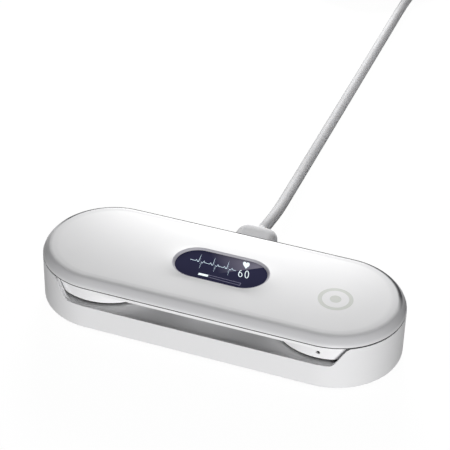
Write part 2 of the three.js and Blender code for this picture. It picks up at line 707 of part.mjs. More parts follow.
// Tube along hand-chosen points, stopping short of what it meets at each end
function leadTube(points, steps) {
  const path = new THREE.CatmullRomCurve3(points);
  const length = path.getLength();
  const trimmed = [];
  for (let step = 0; step <= steps; step += 1) {
    const along = lead.faceGap + (step / steps) * (length - 2 * lead.faceGap);
    trimmed.push(path.getPointAt(along / length));
  }
  const section = new THREE.Shape();
  for (let side = 0; side < leadSides; side += 1) {
    const angle = (side / leadSides) * fullTurn;
    const x = (lead.diameter / 2) * Math.cos(angle);
    const y = (lead.diameter / 2) * Math.sin(angle);
    if (side === 0) section.moveTo(x, y);
    else section.lineTo(x, y);
  }
  const extrudePath = new THREE.CatmullRomCurve3(trimmed);
  return new THREE.ExtrudeGeometry(section, { steps, bevelEnabled: false, extrudePath });
}

// Centre line of the coil: straight in, inward turns, a climb where the spiral reverses,
// outward turns above, and straight out
function coilPoints() {
  const lastAngle = coilTurns * fullTurn;
  const middleAngle = lastAngle / 2;
  const centre = coilStart.clone().add(new THREE.Vector3(-coil.outerRadius, coil.endLength, 0));
  const points = [coilStart.clone()];
  const steps = coilTurns * stepsPerTurn;
  for (let step = 0; step <= steps; step += 1) {
    const angle = (step / steps) * lastAngle;
    const inward = Math.hypot(middleAngle, reversalBlend) - Math.hypot(angle - middleAngle, reversalBlend);
    const radius = coil.outerRadius - (coil.pitch * inward) / fullTurn;
    const climb = THREE.MathUtils.smoothstep(angle, middleAngle - quarterTurn, middleAngle + quarterTurn);
    points.push(new THREE.Vector3(
      centre.x + radius * Math.cos(angle),
      centre.y + radius * Math.sin(angle),
      centre.z + coil.layerPitch * climb,
    ));
  }
  const end = points[points.length - 1].clone();
  points.push(end.add(new THREE.Vector3(0, coil.endLength, 0)));
  return points;
}

// Tube through every point of a centre line that stays nearly level
function levelTube(points, radius, sides) {
  const up = new THREE.Vector3(0, 0, 1);
  const rings = points.map((point, index) => {
    const before = points[Math.max(index - 1, 0)];
    const after = points[Math.min(index + 1, points.length - 1)];
    const tangent = after.clone().sub(before).normalize();
    const side = tangent.clone().cross(up).normalize();
    const above = side.clone().cross(tangent);
    const ring = [];
    for (let corner = 0; corner < sides; corner += 1) {
      const angle = (corner / sides) * fullTurn;
      const offset = above.clone().multiplyScalar(radius * Math.cos(angle));
      offset.addScaledVector(side, radius * Math.sin(angle));
      ring.push(point.clone().add(offset));
    }
    return ring;
  });
  return ringStack(rings);
}

// Least gap between the coil's turns, measured between points more than a third of a turn apart
function leastGap(points, diameter) {
  let least = Infinity;
  for (let low = 0; low < points.length; low += 1) {
    for (let high = low + stepsPerTurn / 3; high < points.length; high += 1) {
      least = Math.min(least, points[low].distanceTo(points[high]) - diameter);
    }
  }
  return least;
}

function farPlugShell(front, axisHeight, x) {
  const corner = farShell.wall * 2;
  const rear = front + farShell.length;
  const body = barAlongY(farShell.width, farShell.height, corner, front, rear, axisHeight, x);
  const inner = barAlongY(
    farShell.width - 2 * farShell.wall,
    farShell.height - 2 * farShell.wall,
    corner - farShell.wall,
    front + farShell.wall,
    rear + overrun,
    axisHeight,
    x,
  );
  return cut(body, inner);
}

const model = new THREE.Group();
const dock = new THREE.Group();
const monitor = new THREE.Group();
const cable = new THREE.Group();
model.add(dock, monitor, cable);

// Dock
addPiece(dock, 'dock_shell', dockShell(), dockPlastic);
addPiece(dock, 'dock_tray', dockTray(), greyPlastic);
addPiece(dock, 'dock_base', dockBase(), dockPlastic);
footPlaces.forEach(([x, y], index) => {
  const body = softDisc(foot.radius, 0, baseBottom + foot.recess, foot.softEdge);
  addPiece(dock, `dock_foot_${index + 1}`, body, blackRubber, x, y);
});
basePosts.forEach(([x, y], index) => {
  const seat = baseBottom + baseScrew.headRecess;
  addPiece(dock, `base_screw_${index + 1}`, screw(baseScrew), steel, x, y, seat);
});
const dockBoardBody = block(dockBoard.length, dockBoard.width, boardBottom, boardTop);
addPiece(dock, 'dock_board', dockBoardBody, boardGreen, 0, boardMiddle);
addPiece(dock, 'socket_shell', socketShell(), steel);
const tongueFront = socketBack + socket.backWall;
const tongueRear = tongueFront + tongue.length;
const tongueBody = barAlongY(
  tongue.width, tongue.thickness, tongue.thickness / 3, tongueFront, tongueRear, socketHeight,
);
addPiece(dock, 'socket_tongue', tongueBody, blackRubber);
addPiece(dock, 'contact_block', contactHolder(), greyPlastic, 0, contactBlock.offset);
pinPlaces.forEach(([side, x]) => {
  addPiece(dock, `pin_barrel_${side}`, pinBarrel(), gold, x, contactBlock.offset);
  addPiece(dock, `contact_pin_${side}`, contactPin(), gold, x, contactBlock.offset);
});
magnetPlaces.forEach(([place, y]) => {
  const bottom = blockTop - dockMagnet.pocketDepth;
  const body = disc(dockMagnet.radius, bottom, bottom + dockMagnet.thickness);
  addPiece(dock, `dock_magnet_${place}`, body, steel, 0, y);
});
endPlaces.forEach(([name, side]) => {
  const length = ballastFar - ballastNear;
  const body = roundedPrism(length, ballastWidth, ballast.corner, baseTop, baseTop + ballast.thickness);
  addPiece(dock, `ballast_${name}`, body, steel, side * (ballastNear + length / 2));
});

// Monitor
addPiece(monitor, 'top_shell', upperShell(), whitePlastic);
addPiece(monitor, 'bottom_shell', lowerShell(), whitePlastic);
addPiece(monitor, 'shell_seal', sealRing(), blackRubber);
const lensBody = stadiumPrism(windowSpan, windowRadius + lens.overlap, lensBottom, lensTop);
addPiece(monitor, 'display_lens', lensBody, darkGlass);
const panelBody = roundedPrism(
  panel.length, panel.width, panel.corner, lensBottom - panel.thickness, lensBottom,
);
addPiece(monitor, 'display_panel', panelBody, darkGlass);
addPiece(monitor, 'display_frame', displayHolder(), blackRubber);
const mainBoardSpan = halfSpan + mainBoard.endReach - mainBoardHalfWidth;
const mainBoardBody = stadiumPrism(mainBoardSpan, mainBoardHalfWidth, mainBoardBottom, mainBoardTop);
addPiece(monitor, 'main_board', mainBoardBody, boardGreen);
const batteryBody = roundedPrism(
  batteryLength, batteryWidth, battery.corner, bossFloorTop, bossFloorTop + battery.thickness,
);
addPiece(monitor, 'battery', batteryBody, batteryFoil, -halfSpan);
addPiece(monitor, 'buzzer', buzzerBody(), blackRubber, halfSpan);
const touchX = halfSpan * touchPlaceShare.span;
const touchY = planRadius * touchPlaceShare.radius;
addPiece(monitor, 'touch_pad', touchPadBody(), gold, touchX, touchY);
addPiece(monitor, 'status_light_pipe', lightPipeBody(lightPipe.radius, 0), blackRubber);
endPlaces.forEach(([name, side]) => {
  const plate = softDisc(electrodeRadius, electrodeBottom, bossBottom, electrode.softEdge, 2 * endSteps);
  addPiece(monitor, `electrode_${name}`, plate, steel, side * halfSpan);
  const ring = ringOf(ringOuterRadius, ringInnerRadius, ringBottom, bossBottom, 2 * endSteps);
  addPiece(monitor, `electrode_ring_${name}`, ring, blackRubber, side * halfSpan);
  const contact = disc(electrodeContact.radius, bossBottom, mainBoardBottom);
  addPiece(monitor, `electrode_contact_${name}`, contact, gold, side * electrodeContactX);
});
pinPlaces.forEach(([side, x]) => {
  const body = disc(pad.radius, padBottom, mainBoardBottom);
  addPiece(monitor, `charge_pad_${side}`, body, gold, x, contactBlock.offset);
});
magnetPlaces.forEach(([place, y]) => {
  const body = disc(monitorMagnet.radius, lowerFloorTop, lowerFloorTop + monitorMagnet.thickness);
  addPiece(monitor, `monitor_magnet_${place}`, body, steel, 0, y);
});
casePosts.forEach(([x, y], index) => {
  const seat = lowerBottom + caseScrew.headRecess;
  addPiece(monitor, `case_screw_${index + 1}`, screw(caseScrew), steel, x, y, seat);
});

// Charging lead and its two plugs
addPiece(cable, 'plug_tip', chargeTip(), steel);
addPiece(cable, 'plug_grip', chargeGrip(), leadPlastic);
addPiece(cable, 'plug_neck', chargeNeck(), leadPlastic);
addPiece(cable, 'lead_run', leadTube(leadRun, runSteps), leadPlastic);
const coilLine = coilPoints();
addPiece(cable, 'lead_coil', levelTube(coilLine, lead.diameter / 2, coilSides), leadPlastic);
addPiece(cable, 'lead_tail', leadTube(leadTail, tailSteps), leadPlastic);
const farX = coilStart.x;
const farAxis = farGrip.height / 2 + farGrip.lie;
const farGripFront = leadTail[leadTail.length - 1].y;
const farShellFront = farGripFront + farGrip.length - farShell.seat;
const farSeat = barAlongY(
  farShell.width + 2 * fit.snug,
  farShell.height + 2 * fit.snug,
  farShell.wall * 2,
  farShellFront - fit.snug,
  farGripFront + farGrip.length + overrun,
  farAxis,
  farX,
);
addPiece(cable, 'usb_a_grip', cut(gripBody(farGrip, farGripFront, farAxis, farX), farSeat), leadPlastic);
addPiece(cable, 'usb_a_shell', farPlugShell(farShellFront, farAxis, farX), steel);
const insertFront = farShellFront + farShell.wall;
const insertTop = farShell.height / 2 - farShell.wall - farInsert.sideGap;
const insertBody = block(
  farShell.width - 2 * farShell.wall - 2 * farInsert.sideGap,
  farInsert.length,
  farAxis + insertTop - farInsert.height,
  farAxis + insertTop,
);
addPiece(cable, 'usb_a_insert', insertBody, nylon, farX, insertFront + farInsert.length / 2);

const coilSteps = coilLine.slice(1).map((point, index) => point.distanceTo(coilLine[index]));
const coilLength = coilSteps.reduce((sum, step) => sum + step, 0);
console.log('least gap between the turns of the coil, mm:', leastGap(coilLine, lead.diameter).toFixed(3));
console.log('length of the coil, mm:', coilLength.toFixed(1));

export default model;
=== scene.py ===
"""Portable ECG monitor lying in its charging dock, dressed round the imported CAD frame.

The frame is in metres, with X along the dock to the right, Y to the rear, Z up and the origin on the table
under the middle of the dock. Sizes in this file are millimetres, and MM turns them into metres where points
become a mesh, a lamp or the camera.
"""

from __future__ import annotations

import json
import logging
import math
from dataclasses import dataclass, field, fields
from enum import Enum
from typing import Sequence

import bpy
import numpy as np
from mathutils import Matrix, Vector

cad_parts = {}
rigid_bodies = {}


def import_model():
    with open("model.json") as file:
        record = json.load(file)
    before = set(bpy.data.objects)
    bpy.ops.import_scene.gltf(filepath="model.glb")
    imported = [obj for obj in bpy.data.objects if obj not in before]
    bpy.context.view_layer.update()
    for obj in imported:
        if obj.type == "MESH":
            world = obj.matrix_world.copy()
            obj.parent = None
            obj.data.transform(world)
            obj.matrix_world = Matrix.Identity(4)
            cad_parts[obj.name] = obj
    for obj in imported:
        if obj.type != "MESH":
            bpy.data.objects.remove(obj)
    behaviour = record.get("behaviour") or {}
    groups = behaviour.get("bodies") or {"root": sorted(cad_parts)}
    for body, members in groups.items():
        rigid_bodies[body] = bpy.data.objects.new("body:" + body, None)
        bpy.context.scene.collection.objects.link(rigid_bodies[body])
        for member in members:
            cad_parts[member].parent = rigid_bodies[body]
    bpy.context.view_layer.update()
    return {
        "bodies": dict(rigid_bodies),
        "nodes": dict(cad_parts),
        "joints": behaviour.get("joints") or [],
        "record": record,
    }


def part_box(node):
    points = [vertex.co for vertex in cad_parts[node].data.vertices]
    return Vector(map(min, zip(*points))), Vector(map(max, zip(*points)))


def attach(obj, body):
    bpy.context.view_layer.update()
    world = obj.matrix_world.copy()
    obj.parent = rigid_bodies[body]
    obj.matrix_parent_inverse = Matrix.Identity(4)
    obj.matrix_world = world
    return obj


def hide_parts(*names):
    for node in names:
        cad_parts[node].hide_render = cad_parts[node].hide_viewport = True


MM = 0.001
LOG = logging.getLogger("ecg_monitor")
Faces = list[tuple[int, ...]]
Socket = bpy.types.NodeSocket
Tree = bpy.types.NodeTree
SIDES = ("left", "right")

# Turn between two steps of a path, in radians, that still counts as straight
STRAIGHT = 0.012
# Turns between faces, in degrees, above which an edge stays sharp: on plain meshes and on carved ones
PLAIN_SHARP, CARVED_SHARP = 40.0, 30.0
# Inset of a ring well inside the plan, from which a flat face is fanned
CORE = 9.0
# How far a cutting tool reaches past the face that it opens
OVERSHOOT = 1.0
# Settings of a mix of two colours, the numbers of its share and of both colours, and that of its result
MIX = {"data_type": "RGBA"}
SHARE, FIRST, SECOND, RESULT = 0, 6, 7, 2


class Body(Enum):
    """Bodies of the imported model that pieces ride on."""

    DOCK = "dock"
    MONITOR = "monitor"
    CABLE = "cable"
    CONTACT_LEFT = "contact_left"
    CONTACT_RIGHT = "contact_right"


class Slot(Enum):
    """Material slots of the record."""

    WHITE = "white"
    DOCK_WHITE = "dock_white"
    TRAY_GREY = "tray_grey"
    BLACK_RUBBER = "black_rubber"
    STEEL = "steel"
    BOARD = "board"
    GOLD = "gold"
    DISPLAY_GLASS = "display_glass"
    BATTERY_FOIL = "battery_foil"
    LEAD_PLASTIC = "lead_plastic"
    INSERT_PLASTIC = "insert_plastic"


class Zone(Enum):
    """Zones of the upper casing, each kept as a share at the mesh's points. The rim and the rear edge carry painted
    shade.
    """

    # Painted shade on the shoulder and the sides
    RIM = "rim_share"
    # Painted dark line along the rear edge, a shaded silhouette
    REAR = "rear_share"
    BEZEL = "bezel_share"


class Ends(Enum):
    """How a row of rings is closed at its two ends."""

    FANNED = "a fan of triangles over each end"
    JOINED = "the last ring joined to the first"


class Cut(Enum):
    """What a boolean does with its tool."""

    TAKE_AWAY = "DIFFERENCE"
    ADD = "UNION"


@dataclass
class Surface:
    """One closed surface.

    Attributes:
        points: Corners in millimetres, one row each.
        faces: Corner numbers of each face.
    """

    points: np.ndarray
    faces: Faces

    def moved(self, x: float = 0.0, y: float = 0.0, z: float = 0.0) -> Surface:
        """Return the surface shifted by x, y and z."""
        return Surface(self.points + np.array([x, y, z]), self.faces)


@dataclass(frozen=True)
class Box:
    """Box of a CAD node, in millimetres.

    Attributes:
        low: Its lowest corner.
        high: Its highest corner.
    """

    low: np.ndarray
    high: np.ndarray

    @classmethod
    def of(cls, node: str) -> Box:
        """Return the box of a node."""
        low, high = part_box(node)
        return cls(np.array(low) / MM, np.array(high) / MM)

    @property
    def size(self) -> np.ndarray:
        """Size along X, Y and Z."""
        return self.high - self.low

    @property
    def middle(self) -> np.ndarray:
        """Middle of the box."""
        return (self.low + self.high) / 2

    @property
    def bottom(self) -> float:
        """Height of its underside."""
        return float(self.low[2])

    @property
    def top(self) -> float:
        """Height of its upper side."""
        return float(self.high[2])


def linear(code: str) -> tuple[float, float, float, float]:
    """Turn an sRGB hex code into linear colour.

    Args:
        code: Six hex digits after a hash.

    Returns:
        Red, green and blue, and 1 for alpha.
    """
    srgb = np.array([int(code[i : i + 2], 16) for i in (1, 3, 5)]) / 255
    low = srgb / 12.92
    high = ((srgb + 0.055) / 1.055) ** 2.4
    red, green, blue = np.where(srgb <= 0.04045, low, high)
    return float(red), float(green), float(blue), 1.0


def softened(path: Sequence[Sequence[float]], reach: float, spacing: float, gap: float = 1.0) -> np.ndarray:
    """Round the corners of an open path.

    The path is cut into equal steps, and each point becomes the mean of the points within half of reach on
    either side, with fewer towards the two ends, which stay where they are. Where the rounded path runs
    straight, only a point each gap stays.

    Args:
        path: Corners of the path.
        reach: Length of path over which a corner is rounded.
        spacing: Length of one step.
        gap: Largest distance between points that stay.

    Returns:
        Points of the rounded path, one row each.
    """
    corners = np.asarray(path, float)
    along = np.concatenate([[0.0], np.cumsum(np.linalg.norm(np.diff(corners, axis=0), axis=1))])
    count = max(int(round(along[-1] / spacing)), 2)
    steps = np.linspace(0.0, along[-1], count + 1)
    fine = np.stack([np.interp(steps, along, corners[:, axis]) for axis in range(corners.shape[1])], axis=1)
    index = np.arange(count + 1)
    half = np.minimum(np.minimum(index, index[::-1]), max(int(round(reach / spacing / 2)), 1))
    sums = np.vstack([np.zeros(fine.shape[1]), np.cumsum(fine, axis=0)])
    rounded = (sums[index + half + 1] - sums[index - half]) / (2 * half + 1)[:, None]
    step = np.diff(rounded, axis=0)
    step /= np.linalg.norm(step, axis=1, keepdims=True)
    stays = index % max(int(round(gap / spacing)), 1) == 0
    stays[[0, -1]] = True
    stays[1:-1] |= (step[1:] * step[:-1]).sum(axis=1) < math.cos(STRAIGHT)
    return rounded[stays]


def carried(rings: np.ndarray, ends: Ends = Ends.FANNED) -> Surface:
    """Join rings of equal counts of points into one closed surface.

    Args:
        rings: Array of ring, point and coordinate. Each ring closes on itself.
        ends: How the first and the last ring are closed.

    Returns:
        The closed surface.
    """
    rows, count = rings.shape[:2]
    points = rings.reshape(-1, 3)
    low = np.arange(rows if ends is Ends.JOINED else rows - 1)[:, None] * count
    high = (low + count) % (rows * count)
    side = np.arange(count)
    after = (side + 1) % count
    faces = np.stack([low + side, low + after, high + after, high + side], axis=-1).reshape(-1, 4).tolist()
    if ends is Ends.FANNED:
        first, last = rows * count, (rows - 1) * count
        points = np.vstack([points, rings[0].mean(axis=0), rings[-1].mean(axis=0)])
        faces += np.stack([after, side, np.full(count, first)], axis=1).tolist()
        faces += np.stack([last + side, last + after, np.full(count, first + 1)], axis=1).tolist()
    return Surface(points, [tuple(face) for face in faces])


def merged(surfaces: Sequence[Surface]) -> Surface:
    """Put several closed surfaces into one.

    Args:
        surfaces: The surfaces, which keep their places.

    Returns:
        One surface with all their points and faces.
    """
    faces: Faces = []
    offset = 0
    for surface in surfaces:
        faces += [tuple(corner + offset for corner in face) for face in surface.faces]
        offset += len(surface.points)
    return Surface(np.vstack([surface.points for surface in surfaces]), faces)


def turned(profile: np.ndarray, steps: int, ends: Ends = Ends.FANNED) -> Surface:
    """Turn a profile round the Z axis.

    A point at radius r and height z becomes the ring (r cos a, r sin a, z) for a from 0 to a full turn.

    Args:
        profile: Pairs of radius and height, with radii above zero.
        steps: Points in each ring.
        ends: How the rings are closed.

    Returns:
        The turned body.
    """
    angles = np.arange(steps) * 2 * np.pi / steps
    radius, height = profile[:, :1], profile[:, 1:]
    rings = [radius * np.cos(angles), radius * np.sin(angles), np.repeat(height, steps, axis=1)]
    return carried(np.stack(rings, axis=-1), ends)


def disc(radius: float, bottom: float, top: float, edge: float, steps: int) -> Surface:
    """Upright disc with rounded edges.

    Args:
        radius: Outer radius.
        bottom: Height of its lower face.
        top: Height of its upper face.
        edge: Radius of the rounded edges.
        steps: Points round it.

    Returns:
        The disc's surface.
    """
    core = 0.02 * radius
    path = [(core, bottom), (radius, bottom), (radius, top), (core, top)]
    return turned(softened(path, 2 * edge, edge / 3), steps)


def rounded_section(width: float, height: float, corner: float) -> np.ndarray:
    """Rectangle with round corners in the XY plane.

    Each corner is a quarter circle about the point one corner radius inside both sides.

    Args:
        width: Size along X.
        height: Size along Y.
        corner: Radius of the corners.

    Returns:
        Points of the outline, anticlockwise.
    """
    quarter = np.linspace(0.0, np.pi / 2, 11)
    parts = []
    for turn, (sign_x, sign_y) in enumerate([(1, 1), (-1, 1), (-1, -1), (1, -1)]):
        angle = quarter + turn * np.pi / 2
        x = sign_x * (width / 2 - corner) + corner * np.cos(angle)
        y = sign_y * (height / 2 - corner) + corner * np.sin(angle)
        parts.append(np.stack([x, y], axis=1))
    return np.vstack(parts)


def lofted(rows: np.ndarray, axis_x: float, axis_z: float) -> Surface:
    """Body along Y through rounded sections.

    Args:
        rows: Place along Y, width along X, height along Z and corner radius of each section.
        axis_x: X of the body's axis.
        axis_z: Height of the body's axis.

    Returns:
        The body's surface.
    """
    rings = []
    for place, width, height, corner in rows:
        outline = rounded_section(width, height, corner)
        ring = np.stack([outline[:, 0] + axis_x, np.full(len(outline), place), outline[:, 1] + axis_z], axis=1)
        rings.append(ring[::-1])
    return carried(np.stack(rings))


def new_object(name: str, data: bpy.types.ID) -> bpy.types.Object:
    """Return a new object of some data, linked into the scene."""
    made = bpy.data.objects.new(name, data)
    bpy.context.scene.collection.objects.link(made)
    return made


def outward(mesh: bpy.types.Mesh) -> None:
    """Turn a mesh inside out if its enclosed volume is negative."""
    corners = np.zeros(len(mesh.vertices) * 3)
    mesh.vertices.foreach_get("co", corners)
    mesh.calc_loop_triangles()
    index = np.zeros(len(mesh.loop_triangles) * 3, np.int32)
    mesh.loop_triangles.foreach_get("vertices", index)
    a, b, c = (corners.reshape(-1, 3)[index.reshape(-1, 3)[:, side]] for side in range(3))
    if np.einsum("ij,ij->i", a, np.cross(b, c)).sum() < 0:
        mesh.flip_normals()


def mesh_of(name: str, surface: Surface) -> bpy.types.Mesh:
    """Turn a surface into a mesh in metres, smooth but for its sharp edges.

    Args:
        name: Name of the mesh.
        surface: The closed surface.

    Returns:
        The mesh, with its faces pointing outwards.
    """
    mesh = bpy.data.meshes.new(name)
    mesh.from_pydata((surface.points * MM).tolist(), [], surface.faces)
    mesh.validate()
    outward(mesh)
    mesh.shade_smooth()
    mesh.set_sharp_from_angle(angle=math.radians(PLAIN_SHARP))
    return mesh


def carved(name: str, surface: Surface, tools: Sequence[tuple[Cut, Surface]]) -> bpy.types.Mesh:
    """Apply booleans to a surface, one after another.

    Args:
        name: Name of the mesh.
        surface: The body that is cut.
        tools: What each tool does, and its surface.

    Returns:
        The mesh that is left.
    """
    used = [new_object(name, mesh_of(name, surface))]
    for number, (cut, tool) in enumerate(tools):
        tool_name = f"{name}_tool_{number}"
        used.append(new_object(tool_name, mesh_of(tool_name, tool)))
        modifier = used[0].modifiers.new(tool_name, "BOOLEAN")
        modifier.object = used[-1]
        modifier.operation = cut.value
        modifier.solver = "MANIFOLD"
    graph = bpy.context.evaluated_depsgraph_get()
    result = bpy.data.meshes.new_from_object(used[0].evaluated_get(graph))
    for item in used:
        old = item.data
        bpy.data.objects.remove(item)
        bpy.data.meshes.remove(old)
    result.name = name
    result.shade_smooth()
    result.set_sharp_from_angle(angle=math.radians(CARVED_SHARP))
    return result


def add_node(
    tree: Tree,
    kind: str,
    settings: dict[str, object] | None = None,
    inputs: dict[str | int, object] | None = None,
) -> bpy.types.Node:
    """Add a node, set its properties, and set or link its inputs.

    Args:
        tree: Node tree that takes the node.
        kind: Type name of the node, after ShaderNode.
        settings: Properties by name.
        inputs: Input values by name or number. A socket is linked, anything else is set.

    Returns:
        The new node.
    """
    node = tree.nodes.new("ShaderNode" + kind)
    for key, value in (settings or {}).items():
        setattr(node, key, value)
    for key, value in (inputs or {}).items():
        if isinstance(value, Socket):
            tree.links.new(value, node.inputs[key])
        else:
            node.inputs[key].default_value = value
    return node


def new_tree(name: str) -> tuple[bpy.types.Material, Tree]:
    """Return a new material and its empty node tree."""
    material = bpy.data.materials.new(name)
    material.use_nodes = True
    material.node_tree.nodes.clear()
    return material, material.node_tree


def mottled(tree: Tree, size_mm: float, detail: float = 2.0) -> Socket:
    """Cloudy pattern that is fixed to the object.

    Args:
        tree: Node tree that takes the nodes.
        size_mm: Width of its largest patches.
        detail: Finer layers on top of them.

    Returns:
        The pattern's share, from 0 to 1.
    """
    place = add_node(tree, "TexCoord").outputs["Object"]
    inputs = {"Vector": place, "Scale": 1 / (size_mm * MM), "Detail": detail}
    return add_node(tree, "TexNoise", inputs=inputs).outputs["Fac"]


def either(tree: Tree, shares: Sequence[Socket]) -> Socket:
    """Take the largest of several shares.

    Args:
        tree: Node tree that takes the nodes.
        shares: The shares, from 0 to 1.

    Returns:
        The largest.
    """
    largest = shares[0]
    for share in shares[1:]:
        largest = add_node(tree, "Math", {"operation": "MAXIMUM"}, {0: largest, 1: share}).outputs[0]
    return largest


@dataclass(frozen=True)
class Finish:
    """Finish of a real material.

    Attributes:
        name: Name of the material.
        slot: The record's material slot that it stands for.
        light: Colour of its lighter patches.
        dark: Colour of its darker patches.
        roughness: Roughness of the surface.
    """

    name: str
    slot: Slot
    light: str
    dark: str
    roughness: float

    def patches(self, tree: Tree, share: Socket) -> Socket:
        """Return the colour, from light to dark with a share."""
        inputs = {SHARE: share, FIRST: linear(self.light), SECOND: linear(self.dark)}
        return add_node(tree, "Mix", MIX, inputs).outputs[RESULT]

    def rough(self, tree: Tree, share: Socket, uneven: float) -> Socket:
        """Return the roughness, which differs by a part of itself either way with a share."""
        inputs = {"Value": share, "To Min": self.roughness * (1 - uneven), "To Max": self.roughness * (1 + uneven)}
        return add_node(tree, "MapRange", inputs=inputs).outputs[0]

    def inputs(self, tree: Tree) -> dict[str | int, object]:
        """Return the shader's inputs, by name."""
        raise NotImplementedError

    def material(self) -> bpy.types.Material:
        """Return the material, built of one shader."""
        material, tree = new_tree(self.name)
        shader = add_node(tree, "BsdfPrincipled", inputs=self.inputs(tree))
        add_node(tree, "OutputMaterial", inputs={"Surface": shader.outputs[0]})
        return material


@dataclass(frozen=True)
class MouldedPlastic(Finish):
    """Injection-moulded plastic: even colour, a soft gloss and the mould's fine texture.

    Attributes:
        grain_mm: Width of the mould texture's grains, drawn coarser than real so that it shows.
        grain_depth_mm: Height of the grains.
        ior: Refractive index.
        scatter_mm: How far light spreads inside it, for a soft and slightly cloudy plastic.
        drift_mm: Width of the patches of its colour.
        gloss_mm: Width of the patches of its gloss.
        uneven: Part by which its roughness differs.
        level: Level of its reflection, of 0.5 for plain plastic.
    """

    grain_mm: float = 0.5
    grain_depth_mm: float = 0.002
    ior: float = 1.5
    scatter_mm: float = 0.0
    drift_mm: float = 12.0
    gloss_mm: float = 4.0
    uneven: float = 0.06
    level: float = 0.5

    def colour(self, tree: Tree) -> Socket:
        """Return the plastic's colour, which drifts slightly as the melt cools."""
        return self.patches(tree, mottled(tree, self.drift_mm))

    def reflection(self, tree: Tree) -> Socket | float:
        """Return the reflection's level, which is the same all over plain plastic."""
        return self.level

    def inputs(self, tree: Tree) -> dict[str | int, object]:
        """Return the shader's inputs, with the grain in its normal."""
        grain = mottled(tree, self.grain_mm, 3.0)
        bump = add_node(tree, "Bump", inputs={"Height": grain, "Distance": self.grain_depth_mm * MM, "Strength": 1.0})
        return {
            "Base Color": self.colour(tree),
            "Roughness": self.rough(tree, mottled(tree, self.gloss_mm), self.uneven),
            "IOR": self.ior,
            "Specular IOR Level": self.reflection(tree),
            "Subsurface Weight": 0.7 if self.scatter_mm else 0.0,
            "Subsurface Scale": self.scatter_mm * MM,
            "Subsurface Radius": (1.0, 0.95, 0.9),
            "Normal": bump.outputs["Normal"],
        }


@dataclass(frozen=True)
class PrintedPlasticWithPaintedShade(MouldedPlastic):
    """Moulded plastic with painted shade, greyer sides and a dark line along the rear edge, and a printed ring that
    shows where the touch key is.

    Attributes:
        mark: Colour of the print.
        centre: Centre of the ring.
        ring: Inner and outer radius of the ring.
        dot: Radius of the dot in its middle.
        blur: Half of the width over which the print's edge fades.
        rim: Colour of the sides, painted shade on the shoulder.
        rear: Colour of the line along the rear edge, painted shade that darkens the silhouette.
        bezel: Colour of the window's sloping wall.
    """

    mark: str = "#cdd0c9"
    centre: tuple[float, float] = (32.0, -2.0)
    ring: tuple[float, float] = (3.5, 4.6)
    dot: float = 1.5
    blur: float = 0.06
    # Painted shade: the greyer sides, and the dark line along the rear edge
    rim: str = "#d0d0d2"
    rear: str = "#626264"
    bezel: str = "#cccbd2"

    def zone(self, tree: Tree, kind: Zone) -> Socket:
        """Return the share of a zone, which the mesh keeps at each of its points."""
        return add_node(tree, "Attribute", {"attribute_name": kind.value}).outputs["Fac"]

    def reflection(self, tree: Tree) -> Socket | float:
        """Return the reflection's level, which falls to nothing in the zones, as they are matt."""
        share = either(tree, [self.zone(tree, kind) for kind in Zone])
        return add_node(tree, "MapRange", inputs={"Value": share, "To Min": self.level, "To Max": 0.0}).outputs[0]

    def within(self, tree: Tree, away: Socket, radius: float) -> Socket:
        """Return 1 inside a radius and 0 outside it, for a distance from the ring's centre."""
        edge = {"Value": away, "From Min": (radius + self.blur) * MM, "From Max": (radius - self.blur) * MM}
        return add_node(tree, "MapRange", inputs=edge).outputs[0]

    def colour(self, tree: Tree) -> Socket:
        """Return the plastic's colour, with the zones' colours, painted shade on the rim and the rear edge, and the
        print over it.
        """
        place = add_node(tree, "TexCoord").outputs["Object"]
        shift = (-self.centre[0] * MM, -self.centre[1] * MM, 0.0)
        flat = add_node(tree, "VectorMath", {"operation": "MULTIPLY_ADD"}, {0: place, 1: (1.0, 1.0, 0.0), 2: shift})
        away = add_node(tree, "VectorMath", {"operation": "LENGTH"}, {0: flat.outputs[0]}).outputs["Value"]
        inner, outer, dot = (self.within(tree, away, radius) for radius in (*self.ring, self.dot))
        band = add_node(tree, "Math", {"operation": "SUBTRACT"}, {0: outer, 1: inner})
        mask = add_node(tree, "Math", {"operation": "ADD"}, {0: band.outputs[0], 1: dot})
        # The rim's and the rear edge's colours are painted shade; the bezel is the wall's own colour
        codes = {Zone.RIM: self.rim, Zone.REAR: self.rear, Zone.BEZEL: self.bezel}
        layers = [(self.zone(tree, kind), code) for kind, code in codes.items()]
        colour = super().colour(tree)
        for share, code in (*layers, (mask.outputs[0], self.mark)):
            inputs = {SHARE: share, FIRST: colour, SECOND: linear(code)}
            colour = add_node(tree, "Mix", MIX, inputs).outputs[RESULT]
        return colour


@dataclass(frozen=True)
class PlainMetal(Finish):
    """Bare metal with the fine marks of its making.

    Attributes:
        marks_mm: Width of its marks, drawn coarser than real so that they show.
        uneven: Part by which its roughness differs.
    """

    marks_mm: float = 0.8
    uneven: float = 0.2

    def inputs(self, tree: Tree) -> dict[str | int, object]:
        """Return the shader's inputs, with the marks in its colour and its roughness."""
        marks = mottled(tree, self.marks_mm, 4.0)
        return {
            "Base Color": self.patches(tree, marks),
            "Metallic": 1.0,
            "Roughness": self.rough(tree, marks, self.uneven),
        }


